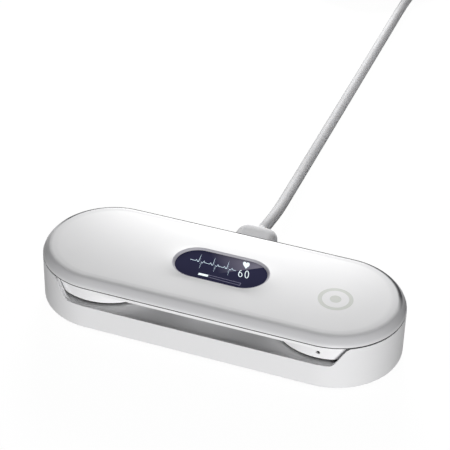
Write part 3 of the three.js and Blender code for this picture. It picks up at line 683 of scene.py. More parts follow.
@dataclass(frozen=True)
class TintedGlass(Finish):
    """Polished glass, tinted dark, over the unlit part of the display.

    A paler wedge is painted on it as a glare, a painted reflection: above an edge line, and the more so the further
    along the line.

    Attributes:
        pale: Colour of the painted glare at its far end.
        edge: Two points of the wedge's edge line.
        blur: Half of the width over which the wedge's edge fades.
        fade: Distances along the line from its first point between which the wedge grows.
        reflection: Level of reflection that its coating leaves, of 0.5 for plain glass.
        drift_mm: Width of the patches of its tint.
    """

    pale: str
    edge: tuple[tuple[float, float], tuple[float, float]] = ((-1.6, -3.53), (10.08, 4.46))
    blur: float = 0.08
    fade: tuple[float, float] = (2.0, 13.0)
    reflection: float = 0.03
    drift_mm: float = 9.0

    def wedge(self, tree: Tree) -> Socket:
        """Share of the painted glare.

        Args:
            tree: Node tree that takes the nodes.

        Returns:
            0 off the wedge, growing to 1 along it.
        """
        start, end = np.array(self.edge)
        along = (end - start) / np.linalg.norm(end - start)
        across = np.array([-along[1], along[0]])
        place = add_node(tree, "TexCoord").outputs["Object"]
        shares = []
        for direction, low, high in ((across, -self.blur, self.blur), (along, *self.fade)):
            axis = (float(direction[0]), float(direction[1]), 0.0)
            dot = add_node(tree, "VectorMath", {"operation": "DOT_PRODUCT"}, {0: place, 1: axis})
            offset = float(start @ direction)
            limits = {"From Min": (offset + low) * MM, "From Max": (offset + high) * MM}
            shares.append(add_node(tree, "MapRange", inputs={"Value": dot.outputs["Value"], **limits}).outputs[0])
        return add_node(tree, "Math", {"operation": "MULTIPLY"}, dict(enumerate(shares))).outputs[0]

    def inputs(self, tree: Tree) -> dict[str | int, object]:
        """Return the shader's inputs, with the painted glare in its colour."""
        tint = self.patches(tree, mottled(tree, self.drift_mm))
        # Painted reflection: the glare wedge mixed into the base colour
        wedge = {SHARE: self.wedge(tree), FIRST: tint, SECOND: linear(self.pale)}
        return {
            "Base Color": add_node(tree, "Mix", MIX, wedge).outputs[RESULT],
            "Roughness": self.roughness,
            "Specular IOR Level": self.reflection,
        }


@dataclass(frozen=True)
class LitSegments(Finish):
    """Lit pixels of the display, seen through its glass.

    Attributes:
        strength: Strength of the glow.
        pixel_mm: Width of one pixel.
        unlit: Colour under the glow.
    """

    strength: float
    pixel_mm: float = 0.18
    unlit: str = "#101018"

    def inputs(self, tree: Tree) -> dict[str | int, object]:
        """Return the shader's inputs, with the pixels in its glow."""
        return {
            "Base Color": linear(self.unlit),
            "Roughness": self.roughness,
            "Emission Color": self.patches(tree, mottled(tree, self.pixel_mm)),
            "Emission Strength": self.strength,
        }


@dataclass(frozen=True)
class Finishes:
    """Materials of the part, one for each real finish. The first of a slot is its plain one."""

    # Polished ABS: clean white with a soft highlight. The marked one adds painted shade on the sides and along the
    # rear edge, and the print
    lower_casing: Finish = MouldedPlastic("white_abs_gloss", Slot.WHITE, "#f3f3f4", "#f1f1f2", 0.4)
    casing: Finish = PrintedPlasticWithPaintedShade("white_abs_gloss_printed_painted_shade", Slot.WHITE, "#f1f1f2", "#eeeeef", 0.4)
    # Satin ABS: a slightly greyer white with a wider, duller highlight than the monitor's
    dock: Finish = MouldedPlastic("white_abs_satin", Slot.DOCK_WHITE, "#eaeaeb", "#e7e7e8", 0.5)
    # Textured ABS: matt pale grey, which goes dark in the notch's shade
    tray: Finish = MouldedPlastic("pale_grey_abs_matt", Slot.TRAY_GREY, "#e8e8e9", "#e3e3e4", 0.6, 0.6, 0.004)
    # Silicone: nearly black and dull, a dark line where it shows between white pieces
    rubber: Finish = MouldedPlastic(
        "black_silicone_rubber", Slot.BLACK_RUBBER, "#1e1e20", "#161618", 0.75, 0.4, 0.006, 1.41
    )
    # Soft TPE: light grey, dull and slightly cloudy, so that its shade is gentle
    cord: Finish = MouldedPlastic(
        "grey_tpe_jacket", Slot.LEAD_PLASTIC, "#c4c4c6", "#c0c0c2", 0.7, 0.4, 0.0008, 1.48, 1.2
    )
    # Nylon of the far plug's insert: milky white
    insert: Finish = MouldedPlastic("natural_nylon", Slot.INSERT_PLASTIC, "#e9e9ea", "#e2e2e3", 0.5, 0.5, 0.003, 1.53)
    # Solder mask: deep green with a lacquer's shine
    board: Finish = MouldedPlastic("green_solder_mask", Slot.BOARD, "#1f5a3c", "#184a31", 0.4, 0.9, 0.01, 1.52)
    # Metals: brushed grey steel, warm gold on the contacts, and the battery's crumpled foil
    steel: Finish = PlainMetal("plain_steel", Slot.STEEL, "#c2c4c7", "#adb0b4", 0.3)
    gold: Finish = PlainMetal("gold_plate", Slot.GOLD, "#d9b25a", "#c79c42", 0.25)
    foil: Finish = PlainMetal("aluminium_laminate_foil", Slot.BATTERY_FOIL, "#b4b8be", "#9fa3a9", 0.4, 2.5)
    # Display glass: deep navy and nearly free of reflections, with a glare painted on as a paler wedge. Its segments
    # glow pale blue or dim violet
    glass: Finish = TintedGlass("navy_tinted_glass_painted_glare", Slot.DISPLAY_GLASS, "#333353", "#2f2f4e", 0.05, "#9692a5")
    lit: Finish = LitSegments("lit_display_segments", Slot.DISPLAY_GLASS, "#ecfaff", "#e2f4fb", 0.3, 0.95)
    trace: Finish = LitSegments("lit_display_trace", Slot.DISPLAY_GLASS, "#cfe4f2", "#bcd6ea", 0.3, 1.0)
    dim: Finish = LitSegments("dim_display_segments", Slot.DISPLAY_GLASS, "#6f6c96", "#65628c", 0.3, 0.8)

    def by_slot(self) -> dict[Slot, Finish]:
        """Return the plain finish of each slot."""
        found = [getattr(self, row.name) for row in fields(self)]
        return {finish.slot: finish for finish in reversed(found)}


@dataclass
class Workshop:
    """What every sub-assembly needs to put a piece into the scene.

    Attributes:
        finishes: Finishes of the part.
        made: Materials built so far, by name.
    """

    finishes: Finishes = field(default_factory=Finishes)
    made: dict[str, bpy.types.Material] = field(default_factory=dict)

    def material_of(self, finish: Finish) -> bpy.types.Material:
        """Return the material of a finish, built at its first use."""
        if finish.name not in self.made:
            self.made[finish.name] = finish.material()
        return self.made[finish.name]

    def ride(self, piece: bpy.types.Object, finish: Finish, body: Body, nodes: Sequence[str]) -> None:
        """Put a piece on its body, and hide the CAD nodes that it stands for."""
        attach(piece, body.value)
        if nodes:
            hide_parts(*nodes)

    def add(
        self, name: str, shape: Surface | bpy.types.Mesh, finish: Finish, body: Body, *nodes: str
    ) -> bpy.types.Object:
        """Add one piece.

        Args:
            name: Name of the piece.
            shape: Its surface in millimetres, or its finished mesh.
            finish: Its finish.
            body: Body that it rides on.
            nodes: CAD nodes that it stands for.

        Returns:
            The new object.
        """
        mesh = mesh_of(name, shape) if isinstance(shape, Surface) else shape
        mesh.materials.clear()
        mesh.materials.append(self.material_of(finish))
        piece = new_object(name, mesh)
        self.ride(piece, finish, body, nodes)
        LOG.info("%s: %d faces, on %s", name, len(mesh.polygons), body.value)
        return piece


@dataclass
class PlanOutline:
    """Plan shared by the dock and the monitor: straight sides and round ends.

    Attributes:
        length: Whole length along X.
        width: Whole width along Y.
        end_steps: Steps round each end.
        side_steps: Steps along each straight side.
    """

    length: float
    width: float
    end_steps: int = 180
    side_steps: int = 40

    @property
    def radius(self) -> float:
        """Radius of the round ends."""
        return self.width / 2

    @property
    def span(self) -> float:
        """Distance from the middle to the centre of a round end."""
        return (self.length - self.width) / 2

    def spine(self) -> tuple[np.ndarray, np.ndarray]:
        """Sample the outline.

        An outline at radius r is anchor + r * direction. Round an end the anchor is the end's centre and the
        direction turns, and along a side the anchor moves and the direction points straight out.

        Returns:
            Anchors along X, and unit directions, one row for each sample.
        """
        turn = np.linspace(-np.pi / 2, np.pi / 2, self.end_steps, endpoint=False)
        slide = np.linspace(self.span, -self.span, self.side_steps, endpoint=False)
        up = np.tile([0.0, 1.0], (self.side_steps, 1))
        bend = np.stack([np.cos(turn), np.sin(turn)], axis=1)
        end = np.full(self.end_steps, self.span)
        return np.concatenate([end, slide, -end, -slide]), np.vstack([bend, up, -bend, -up])

    def rings(self, profile: np.ndarray) -> np.ndarray:
        """Carry a profile round the outline.

        Args:
            profile: Pairs of inset from the outline and height.

        Returns:
            One ring of points for each pair.
        """
        anchors, directions = self.spine()
        inset, height = np.asarray(profile)[:, :1], np.asarray(profile)[:, 1:]
        reach = self.radius - inset
        x = anchors + reach * directions[:, 0]
        return np.stack([x, reach * directions[:, 1], np.broadcast_to(height, x.shape)], axis=-1)

    def inset(self, x: np.ndarray, y: np.ndarray) -> np.ndarray:
        """Distance inwards from the outline at a point of the plan."""
        return self.radius - np.hypot(np.maximum(np.abs(x) - self.span, 0.0), y)

    def slab(self, inset: float, bottom: float, top: float) -> Surface:
        """Return an upright prism of the outline at an inset."""
        return carried(self.rings(np.array([(inset, bottom), (inset, top)])))


def axes_of(yaw: float, elevation: float) -> tuple[np.ndarray, np.ndarray, np.ndarray]:
    """Directions of something that stands off the middle and looks back at it.

    Args:
        yaw: Direction that it stands in, in degrees to the right of the front.
        elevation: Angle above the horizon, in degrees.

    Returns:
        Its side, top and back directions.
    """
    turn, rise = math.radians(yaw), math.radians(elevation)
    back = np.array([math.sin(turn) * math.cos(rise), -math.cos(turn) * math.cos(rise), math.sin(rise)])
    side = np.array([math.cos(turn), math.sin(turn), 0.0])
    return side, np.cross(back, side), back


def put(item: bpy.types.Object, axes: Sequence[np.ndarray], place: np.ndarray) -> None:
    """Put an object at a place in millimetres, with its axes along three directions."""
    matrix = np.eye(4)
    matrix[:3, :3] = np.stack(axes, axis=1)
    matrix[:3, 3] = place * MM
    item.matrix_world = Matrix(matrix.tolist())


def disc_for(node: str, edge: float, steps: int) -> Surface:
    """Return the upright disc that fills the box of a CAD node."""
    box = Box.of(node)
    return disc(box.size[0] / 2, box.bottom, box.top, edge, steps).moved(*box.middle[:2])


def hole_for(node: str, gap: float, bottom: float, top: float) -> Surface:
    """Return an upright round tool that leaves a gap round a CAD node."""
    box = Box.of(node)
    return disc(box.size[0] / 2 + gap, bottom, top, 0.05, 48).moved(*box.middle[:2])


@dataclass
class StudioCamera:
    """Camera at the photograph's viewing angle.

    Attributes:
        focal_px: Focal length in pixels of the frame.
        frame_px: Width of the frame.
        sensor: Width of the sensor.
        clip: Nearest and furthest distance that it sees, in metres.
        distance: Distance from the origin along the view, before the shift of aim.
        yaw: Turn to the right of the front, in degrees.
        elevation: Angle above the horizon, in degrees.
        roll: Roll of the camera, in degrees.
        aim_right: Shift of the aim to the right.
        aim_up: Shift of the aim upwards.
    """

    focal_px: float = 1539.7
    frame_px: float = 450.0
    sensor: float = 36.0
    clip: tuple[float, float] = (0.01, 20.0)
    distance: float = 414.7
    yaw: float = 19.54
    elevation: float = 34.87
    roll: float = 1.42
    aim_right: float = 1.27
    aim_up: float = 24.56

    def build(self) -> None:
        """Make the camera and set it as the scene's."""
        side, top, back = axes_of(self.yaw, self.elevation)
        roll = math.radians(self.roll)
        right = math.cos(roll) * side + math.sin(roll) * top
        up = -math.sin(roll) * side + math.cos(roll) * top
        data = bpy.data.cameras.new("studio_camera")
        data.sensor_width = self.sensor
        data.lens = self.sensor * self.focal_px / self.frame_px
        data.clip_start, data.clip_end = self.clip
        camera = new_object(data.name, data)
        put(camera, (right, up, back), back * self.distance + right * self.aim_right + up * self.aim_up)
        bpy.context.scene.camera = camera


@dataclass
class Lead:
    """Charging lead: its free run, the coil that puts its length away, its tail and both plugs.

    Attributes:
        shop: Where its pieces are added.
        diameter: Diameter of the lead.
        run: Points of the free run, with Y from the neck's end.
        run_reach: Length over which a corner of the run is rounded.
        coil_radius: Radius of the outermost turn's centre line.
        coil_pitch: Step from one turn to the next, across and up.
        coil_turns: Turns, half inwards below and half outwards above.
        coil_steps: Points in each turn.
        coil_end: Straight length at each end of the coil.
        reversal: How far the spiral's reversal is rounded, in radians.
        tail: Points of the tail, with Y from the neck's end.
        tail_reach: Length over which a corner of the tail is rounded.
        draw_in: Inset at the end faces of a grip, as a share of the length of its rounding.
        flat: Inset of a grip's top and underside, as a share of that of its sides.
        collar: How much wider than the lead the neck ends.
        neck_corner: Corner radius of the neck where it leaves the grip.
        metal: Thickness of the plugs' shells.
        metal_edge: Softness of the shells' ends.
    """

    shop: Workshop
    diameter: float = 3.3
    run: tuple[tuple[float, float, float], ...] = (
        (0, 0, 6.2), (0.1, 2.5, 6.15), (0.35, 6.5, 5.75), (0.4, 11.5, 5), (0.08, 17.5, 4.1), (-0.28, 23.5, 3.3),
        (-0.6, 29.5, 2.6), (-0.86, 36.5, 2), (-1.03, 44.5, 1.7), (-1.07, 56.5, 1.7), (-1.11, 71.5, 1.7),
        (-1.16, 86.5, 1.7), (-1.2, 101.5, 1.7), (-1.25, 116.5, 1.7), (-1.29, 131.5, 1.7), (-1.34, 146.5, 1.7),
        (-1.38, 161.5, 1.7), (-1.05, 169.5, 1.7), (-0.2, 176.5, 1.7), (0.55, 183, 1.7), (0.7, 187.5, 1.7),
    )  # fmt: skip
    run_reach: float = 12.0
    coil_radius: float = 24.5
    coil_pitch: float = 3.8
    coil_turns: int = 7
    coil_steps: int = 48
    coil_end: float = 3.0
    reversal: float = 0.5
    tail: tuple[tuple[float, float, float], ...] = (
        (0.7, 193.5, 5.5), (0.7, 197.5, 5.45), (0.7, 201.5, 5.05),
        (0.7, 205.5, 4.45), (0.7, 209.5, 4.06), (0.7, 213.5, 4),
    )  # fmt: skip
    tail_reach: float = 3.0
    draw_in: float = 0.6
    flat: float = 0.35
    collar: float = 0.5
    neck_corner: float = 1.7
    metal: float = 0.35
    metal_edge: float = 0.1

    def coil(self, start: np.ndarray) -> np.ndarray:
        """Centre line of the coil.

        At angle a the radius is R - p (h(m, b) - h(a - m, b)) / 2 pi, where m is half of the whole angle, p
        the pitch, b the reversal and h the hypotenuse, so that the turns go in and out again. The height
        rises by one pitch in a smooth step half a turn wide about m.

        Args:
            start: Point where the run ends.

        Returns:
            Points of the coil, with its two straight ends.
        """
        whole = self.coil_turns * 2 * np.pi
        middle = whole / 2
        angle = np.linspace(0.0, whole, self.coil_turns * self.coil_steps + 1)
        inward = np.hypot(middle, self.reversal) - np.hypot(angle - middle, self.reversal)
        radius = self.coil_radius - self.coil_pitch * inward / (2 * np.pi)
        step = np.clip((angle - middle) / np.pi + 0.5, 0.0, 1.0)
        climb = self.coil_pitch * step * step * (3 - 2 * step)
        centre = start + np.array([-self.coil_radius, self.coil_end, 0.0])
        turns = centre + np.stack([radius * np.cos(angle), radius * np.sin(angle), climb], axis=1)
        return np.vstack([start, turns, turns[-1] + np.array([0.0, self.coil_end, 0.0])])

    def centre_line(self) -> np.ndarray:
        """Return the points of the whole lead, from the neck to the far plug."""
        shift = np.array([0.0, Box.of("plug_neck").high[1], 0.0])
        run = softened(np.array(self.run) + shift, self.run_reach, 1.0)
        tail = softened(np.array(self.tail) + shift, self.tail_reach, 1.0)
        return np.vstack([run, self.coil(run[-1])[1:], tail[1:]])

    def build_cord(self, line: np.ndarray) -> bpy.types.Object:
        """Make the lead as one tube on an open spline.

        Args:
            line: Points of its centre line, in metres.

        Returns:
            The curve object.
        """
        curve = bpy.data.curves.new("charging_lead", "CURVE")
        curve.dimensions = "3D"
        curve.bevel_depth = self.diameter / 2 * MM
        curve.bevel_resolution = 6
        curve.use_fill_caps = True
        spline = curve.splines.new("POLY")
        spline.points.add(len(line) - 1)
        spline.points.foreach_set("co", np.hstack([line, np.ones((len(line), 1))]).ravel())
        spline.use_smooth = True
        finish = self.shop.finishes.cord
        curve.materials.append(self.shop.material_of(finish))
        piece = new_object("charging_lead", curve)
        self.shop.ride(piece, finish, Body.CABLE, ("lead_run", "lead_coil", "lead_tail"))
        return piece

    def grip(self, node: str, corner: float, end_round: float) -> Surface:
        """Moulded grip with rounded ends in the box of its CAD node.

        Towards each end face the sections are drawn in from the box's sides, in a quarter ellipse.

        Args:
            node: CAD node that it stands for.
            corner: Corner radius of the sections.
            end_round: Length of the rounding at each end.

        Returns:
            The grip's surface.
        """
        box = Box.of(node)
        angle = np.linspace(0.0, np.pi / 2, 14)
        along = end_round * (1 - np.cos(angle))
        inset = self.draw_in * end_round * (1 - np.sin(angle))
        inset = np.concatenate([inset, inset[::-1]])
        places = np.concatenate([box.low[1] + along, (box.high[1] - along)[::-1]])
        sizes = [box.size[0] - 2 * inset, box.size[2] - 2 * self.flat * inset, corner - self.flat * inset]
        return lofted(np.stack([places, *sizes], axis=1), *box.middle[[0, 2]])

    def shell(self, name: str, node: str, corner: float, mouth: int) -> bpy.types.Mesh:
        """Metal plug shell: a rounded bar with its inside taken out from one end.

        Args:
            name: Name of the mesh.
            node: CAD node that it stands for.
            corner: Corner radius of its section.
            mouth: Direction of its open end along Y.

        Returns:
            The shell's mesh.
        """
        box, edge, wall = Box.of(node), self.metal_edge, self.metal
        (near, far), axis = (box.low[1], box.high[1]), box.middle[[0, 2]]
        width, height = box.size[[0, 2]]
        steps = ((near, edge), (near + edge, 0.0), (far - edge, 0.0), (far, edge))
        rows = [(place, width - 2 * less, height - 2 * less, corner - less) for place, less in steps]
        ends = (near + wall, far + OVERSHOOT) if mouth > 0 else (near - OVERSHOOT, far - wall)
        inside = [(end, width - 2 * wall, height - 2 * wall, corner - wall) for end in ends]
        return carved(name, lofted(np.array(rows), *axis), [(Cut.TAKE_AWAY, lofted(np.array(inside), *axis))])

    def neck(self) -> Surface:
        """Strain relief that tapers from the grip's face to the lead.

        Its width and height fall to those of a collar round the lead in half a cosine wave.

        Returns:
            The neck's surface.
        """
        box = Box.of("plug_neck")
        share = np.linspace(0.0, 1.0, 16)
        fall = (1 - np.cos(share * np.pi)) / 2
        collar = self.diameter + self.collar
        starts = (box.size[0], box.size[2], self.neck_corner)
        ends = (collar, collar, collar / 2 - 0.05)
        sizes = [start * (1 - fall) + end * fall for start, end in zip(starts, ends)]
        return lofted(np.stack([box.low[1] + share * box.size[1], *sizes], axis=1), *box.middle[[0, 2]])

    def build(self) -> None:
        """Make the lead, its plugs and the neck."""
        finishes = self.shop.finishes
        line = self.centre_line() * MM
        cord = self.build_cord(line)
        shapes = (
            ("charging_plug_grip", "plug_grip", self.grip("plug_grip", 2.4, 3.0), finishes.cord),
            ("charging_plug_neck", "plug_neck", self.neck(), finishes.cord),
            ("far_plug_grip", "usb_a_grip", self.grip("usb_a_grip", 1.6, 1.5), finishes.cord),
            ("charging_plug_tip", "plug_tip", self.shell("charging_plug_tip", "plug_tip", 1.08, -1), finishes.steel),
            ("far_plug_shell", "usb_a_shell", self.shell("far_plug_shell", "usb_a_shell", 0.7, 1), finishes.steel),
        )
        parts = [self.shop.add(name, shape, finish, Body.CABLE, node) for name, node, shape, finish in shapes]


@dataclass
class Monitor:
    """The monitor: casing halves, seal, display window and electrodes.

    Attributes:
        shop: Where its pieces are added.
        plan: Outline that it shares with the dock.
        shoulder_width: Width of the upper casing's shoulder in plan.
        shoulder_rise: Height of the shoulder.
        shoulder_shares: Points of the shoulder, as shares of its width and its height.
        crown_rise: Rise of the crown from the shoulder to the ridge.
        crown_steps: Insets past the shoulder over which the two are softened together.
        crown_shares: Rings on the crown, as shares of the way from the shoulder to the window's lip.
        roof_shares: Rings inside, as shares of the way from the lens to the shoulder.
        rim_low: Height below which the rim's painted shade is at half.
        rim_top: Height at which the rim's painted shade ends.
        rim_fades: Heights over which the share falls at its top and at rim_low.
        rim_left: How much less the rim's painted shade is at the left end.
        rear_low: Height of the underside of the painted shade line along the rear edge.
        rear_top: Height of its upper side.
        rear_fade: Height over which the line fades on either side.
        rear_turn: How far the outline faces back where the line is whole, as a share.
        band: Height of the upright band under the shoulder.
        seam: Width of the gap between the casing halves.
        seam_height: Height of the seal's lip in it.
        window_length: Length of the window at the lens.
        window_width: Width of the window at the lens.
        window_flare: How far its wall slopes outwards.
        window_lip: Width of the rounded lip round it.
        window_shift: Shift of the window from the casing's middle.
        window_wall: Points of its wall between the lip and the lens, as outward reach and share of the depth.
        lens_overlap: How far the lens reaches under the window's edge.
        swell: Height of the swell in front of the window.
        swell_reach: Distance over which the swell dies away.
        wall: Thickness of the crown.
        side_wall: Width of the upper casing's lower edge.
        lower_inset: Inset of the lower casing from the outline.
        lower_wall: Thickness of the lower casing.
        boss_depth: Depth of the bosses under the lower casing.
        boss_slope: How much narrower a boss is at its foot.
        gasket_width: Width of the rings round the electrodes.
    """

    shop: Workshop
    plan: PlanOutline
    shoulder_width: float = 1.9
    shoulder_rise: float = 2.45
    shoulder_shares: tuple[tuple[float, float], ...] = (
        (0.0, 0.0), (0.03, 0.05), (0.12, 0.22), (0.22, 0.4), (0.36, 0.56), (0.58, 0.76), (0.8, 0.9), (1.0, 0.975),
    )  # fmt: skip
    crown_rise: float = 0.3
    crown_steps: tuple[float, ...] = (0.6, 1.0, 1.6)
    crown_shares: tuple[float, ...] = (*(step / 33 for step in range(1, 33)), 0.994, 1.0)
    roof_shares: tuple[float, ...] = tuple(step / 7 for step in range(8))
    rim_low: float = 14.02
    rim_top: float = 16.28
    rim_fades: tuple[float, float] = (0.3, 0.12)
    rim_left: float = 0.6
    rear_low: float = 15.7
    rear_top: float = 16.17
    rear_fade: float = 0.06
    rear_turn: float = 0.35
    band: float = 0.2
    seam: float = 0.12
    seam_height: float = 0.3
    window_length: float = 25.2
    window_width: float = 12.35
    window_flare: float = 0.36
    window_lip: float = 0.26
    window_shift: tuple[float, float] = (0.0, -0.37)
    window_wall: tuple[tuple[float, float], ...] = ((0.46, 0.04), (0.36, 0.16), (0.0, 1.0))
    lens_overlap: float = 1.15
    swell: float = 0.26
    swell_reach: float = 2.2
    wall: float = 1.1
    side_wall: float = 2.7
    lower_inset: float = 1.9
    lower_wall: float = 1.0
    boss_depth: float = 2.95
    boss_slope: float = 0.4
    gasket_width: float = 1.3

    @property
    def parting(self) -> float:
        """Height of the upper casing's lower edge."""
        return Box.of("shell_seal").top

    def crown(self, inset: np.ndarray) -> np.ndarray:
        """Height of the upper casing inside its shoulder.

        With u the inset past the shoulder as a share of the way to the ridge, the height is that of the
        shoulder's top plus rise * (1 - (1 - u) ** 2).

        Args:
            inset: Insets from the outline.

        Returns:
            Heights.
        """
        share = np.clip((inset - self.shoulder_width) / (self.plan.radius - self.shoulder_width), 0.0, 1.0)
        return self.parting + self.band + self.shoulder_rise + self.crown_rise * (1 - (1 - share) ** 2)

    def across(self, first: np.ndarray, last: np.ndarray, shares: Sequence[float]) -> np.ndarray:
        """Rings on the crown, at shares of the way from one ring to another in plan.

        Args:
            first: Points of the ring at share 0.
            last: Points of the ring at share 1.
            shares: The shares.

        Returns:
            One ring of points for each share.
        """
        flat = first[:, :2] + np.array(shares)[:, None, None] * (last - first)[:, :2]
        height = self.crown(self.plan.inset(flat[..., 0], flat[..., 1]))
        return np.concatenate([flat, height[..., None]], axis=-1)

    def window_ring(self, grow: float, height: float | np.ndarray) -> np.ndarray:
        """Outline of the window, matched point for point to the casing's outline.

        Args:
            grow: How far the outline lies outside the window at the lens.
            height: Height of the ring, or of each of its points.

        Returns:
            The ring's points.
        """
        anchors, directions = self.plan.spine()
        radius = self.window_width / 2
        stretch = (self.window_length / 2 - radius) / self.plan.span
        x = self.window_shift[0] + anchors * stretch + (radius + grow) * directions[:, 0]
        y = self.window_shift[1] + (radius + grow) * directions[:, 1]
        return np.stack([x, y, np.broadcast_to(height, x.shape)], axis=1)

    def zones(self, outer: np.ndarray, crown: int, walls: int, roof: int) -> dict[Zone, np.ndarray]:
        """Shares of the rim, the rear edge and the bezel at each point of the upper casing's rings.

        The rim's share, painted shade on the shoulder, is 1 from rim_low up to the crown's edge, half below it,
        and less towards the left end. The rear edge is a thin line of painted shade below the crown's edge, where
        the outline faces back: its share is 1 from rear_low to rear_top, and 0 elsewhere.

        Args:
            outer: Heights of the rings on the casing's outside.
            crown: Number of rings on the crown.
            walls: Number of rings on the window's wall.
            roof: Number of rings inside.

        Returns:
            A row of shares for each ring, by zone.
        """
        direction = self.plan.spine()[1]
        fades = self.rim_fades
        # Painted shade on the shoulder: full from rim_low to the crown's edge, half below
        rim = np.clip((self.rim_top - outer) / fades[0], 0.0, 1.0)
        rim *= 0.5 + 0.5 * np.clip((outer - self.rim_low) / fades[1], 0.0, 1.0)
        # Painted shade: a thin dark line along the rear edge
        line = np.clip((self.rear_top - outer) / self.rear_fade, 0.0, 1.0)
        line *= np.clip((outer - self.rear_low) / self.rear_fade, 0.0, 1.0)
        # Less painted shade towards the left end, and the rear line only where the outline faces back
        leftward = np.clip(-direction[:, 0], 0.0, 1.0)
        backward = np.clip(direction[:, 1] / self.rear_turn, 0.0, 1.0)
        counts = (len(outer), crown - 1, walls + 1, roof)
        none, bezel, roofs = np.zeros(crown + walls), np.repeat([0.0, 0.0, 1.0, 0.0], counts), np.ones(roof)
        return {
            Zone.RIM: np.outer(np.concatenate([rim, none, roofs]), 1 - self.rim_left * leftward**2),
            Zone.REAR: np.outer(np.concatenate([line, none, 0 * roofs]), backward),
            Zone.BEZEL: np.outer(bezel, np.ones(len(direction))),
        }

    def upper_casing(self) -> bpy.types.Mesh:
        """Upper casing as one closed loop of rings.

        The rings go up the band and the shoulder, over the crown to the window, down its sloping wall, and
        back along the inside. The crown swells towards the front of the window's lip.

        Returns:
            The casing's mesh, which keeps the shares of its zones.
        """
        low, foot, lens_top = self.parting, self.parting + self.band, Box.of("display_lens").top
        rise = [(inset * self.shoulder_width, foot + up * self.shoulder_rise) for inset, up in self.shoulder_shares]
        edge = [(self.side_wall, low), (0.6, low), (0.4, low + self.seam), (0.0, low + self.seam)]
        beyond = self.shoulder_width + np.array(self.crown_steps)
        profile = softened([*edge, *rise, *zip(beyond, self.crown(beyond))], 0.3, 0.05)
        outer = self.plan.rings(profile)
        lip = self.window_ring(self.window_flare + self.window_lip, 0.0)
        crown = self.across(outer[-1], lip, self.crown_shares)
        away = np.linalg.norm((crown - lip)[..., :2], axis=-1)
        forward = (1 - self.plan.spine()[1][:, 1]) / 2
        crown[..., 2] += self.swell * forward * np.exp(-away / self.swell_reach)
        top = crown[-1, :, 2]
        wall = softened([(self.window_flare + self.window_lip, 0.0), *self.window_wall], 0.3, 0.06)[1:]
        walls = np.stack([self.window_ring(grow, top + (lens_top - top) * drop) for grow, drop in wall])
        seat = self.window_ring(self.lens_overlap, lens_top + 0.02)
        roof = self.across(seat, outer[-1], self.roof_shares) - np.array([0.0, 0.0, self.wall])
        mesh = mesh_of("upper_casing", carried(np.concatenate([outer, crown, walls, seat[None], roof]), Ends.JOINED))
        for kind, share in self.zones(profile[:, 1], len(crown), len(walls), 1 + len(roof)).items():
            kept = mesh.attributes.new(kind.value, "FLOAT", "POINT")
            kept.data.foreach_set("value", share.ravel().astype(np.float32))
        return mesh

    def lower_casing(self) -> bpy.types.Mesh:
        """Lower casing: a shallow tray, with a round boss under each end.

        Returns:
            The casing's mesh, open for the charging pads and the status light.
        """
        foot, top = Box.of("electrode_ring_right").top, Box.of("shell_seal").bottom
        inset, wall, bottom = self.lower_inset, self.lower_wall, foot + self.boss_depth
        outer = softened([(6.0, bottom), (inset, bottom), (inset, top - 0.02), (inset + 0.05, top)], 0.5, 0.08)
        body = carried(self.plan.rings(np.vstack([[(CORE, bottom)], outer, [(CORE, top)]])))
        wide = self.plan.radius - inset - 0.1
        narrow = wide - self.boss_slope
        path = [(1.0, foot), (narrow, foot), (wide, bottom), (wide, bottom + wall), (1.0, bottom + wall)]
        boss = turned(softened(path, 0.3, 0.1), 192)
        well = disc(narrow - wall, foot + 0.9 * wall, top + OVERSHOOT, 0.2, 96)
        ends = (-self.plan.span, self.plan.span)
        tools = [(Cut.ADD, boss.moved(x=end)) for end in ends]
        tools += [(Cut.TAKE_AWAY, self.plan.slab(inset + wall, bottom + wall, top + OVERSHOOT))]
        tools += [(Cut.TAKE_AWAY, well.moved(x=end)) for end in ends]
        reach = (bottom - OVERSHOOT, bottom + wall + OVERSHOOT)
        tools += [(Cut.TAKE_AWAY, hole_for(f"charge_pad_{side}", 0.1, *reach)) for side in SIDES]
        light = Box.of("status_light_pipe")
        bore = disc(light.size[2] / 2 + 0.15, -2.0, 2.0, 0.05, 48)
        lying = bore.points[:, [0, 2, 1]] * np.array([1.0, 1.0, -1.0])
        place = np.array([light.middle[0], light.low[1], light.middle[2]])
        return carved("lower_casing", body, [*tools, (Cut.TAKE_AWAY, Surface(lying + place, bore.faces))])

    def seal_lip(self) -> Surface:
        """Lip of the casing's seal, which shows as a thin dark line under the upper casing's edge.

        Returns:
            The lip's surface.
        """
        top = self.parting + self.seam
        bottom, step = top - self.seam_height, self.parting - 0.02
        path = [(0.5, bottom), (0.12, bottom), (0.12, top), (0.42, top), (0.58, step), (0.6, step)]
        return carried(self.plan.rings(softened(path, 0.08, 0.03)), Ends.JOINED)

    def lens(self) -> Surface:
        """Display lens: a plate with round ends and a soft upper edge.

        Returns:
            The lens's surface.
        """
        box = Box.of("display_lens")
        outline = PlanOutline(float(box.size[0]), float(box.size[1]), 48, 12)
        path = [(4.0, box.bottom), (0.0, box.bottom), (0.0, box.top), (4.0, box.top)]
        return carried(outline.rings(softened(path, 0.2, 0.05)))

    def gasket(self, node: str) -> Surface:
        """Insulating ring round an electrode, with soft outer edges.

        Args:
            node: CAD node that it stands for.

        Returns:
            The ring's surface.
        """
        box = Box.of(node)
        outer = box.size[0] / 2
        inner = outer - self.gasket_width
        section = [(inner, box.top), (inner, box.bottom), (outer, box.bottom), (outer, box.top)]
        loop = np.vstack([softened(section, 0.12, 0.04), [(inner + 0.3, box.top)]])
        return turned(loop, 128, Ends.JOINED).moved(x=box.middle[0])

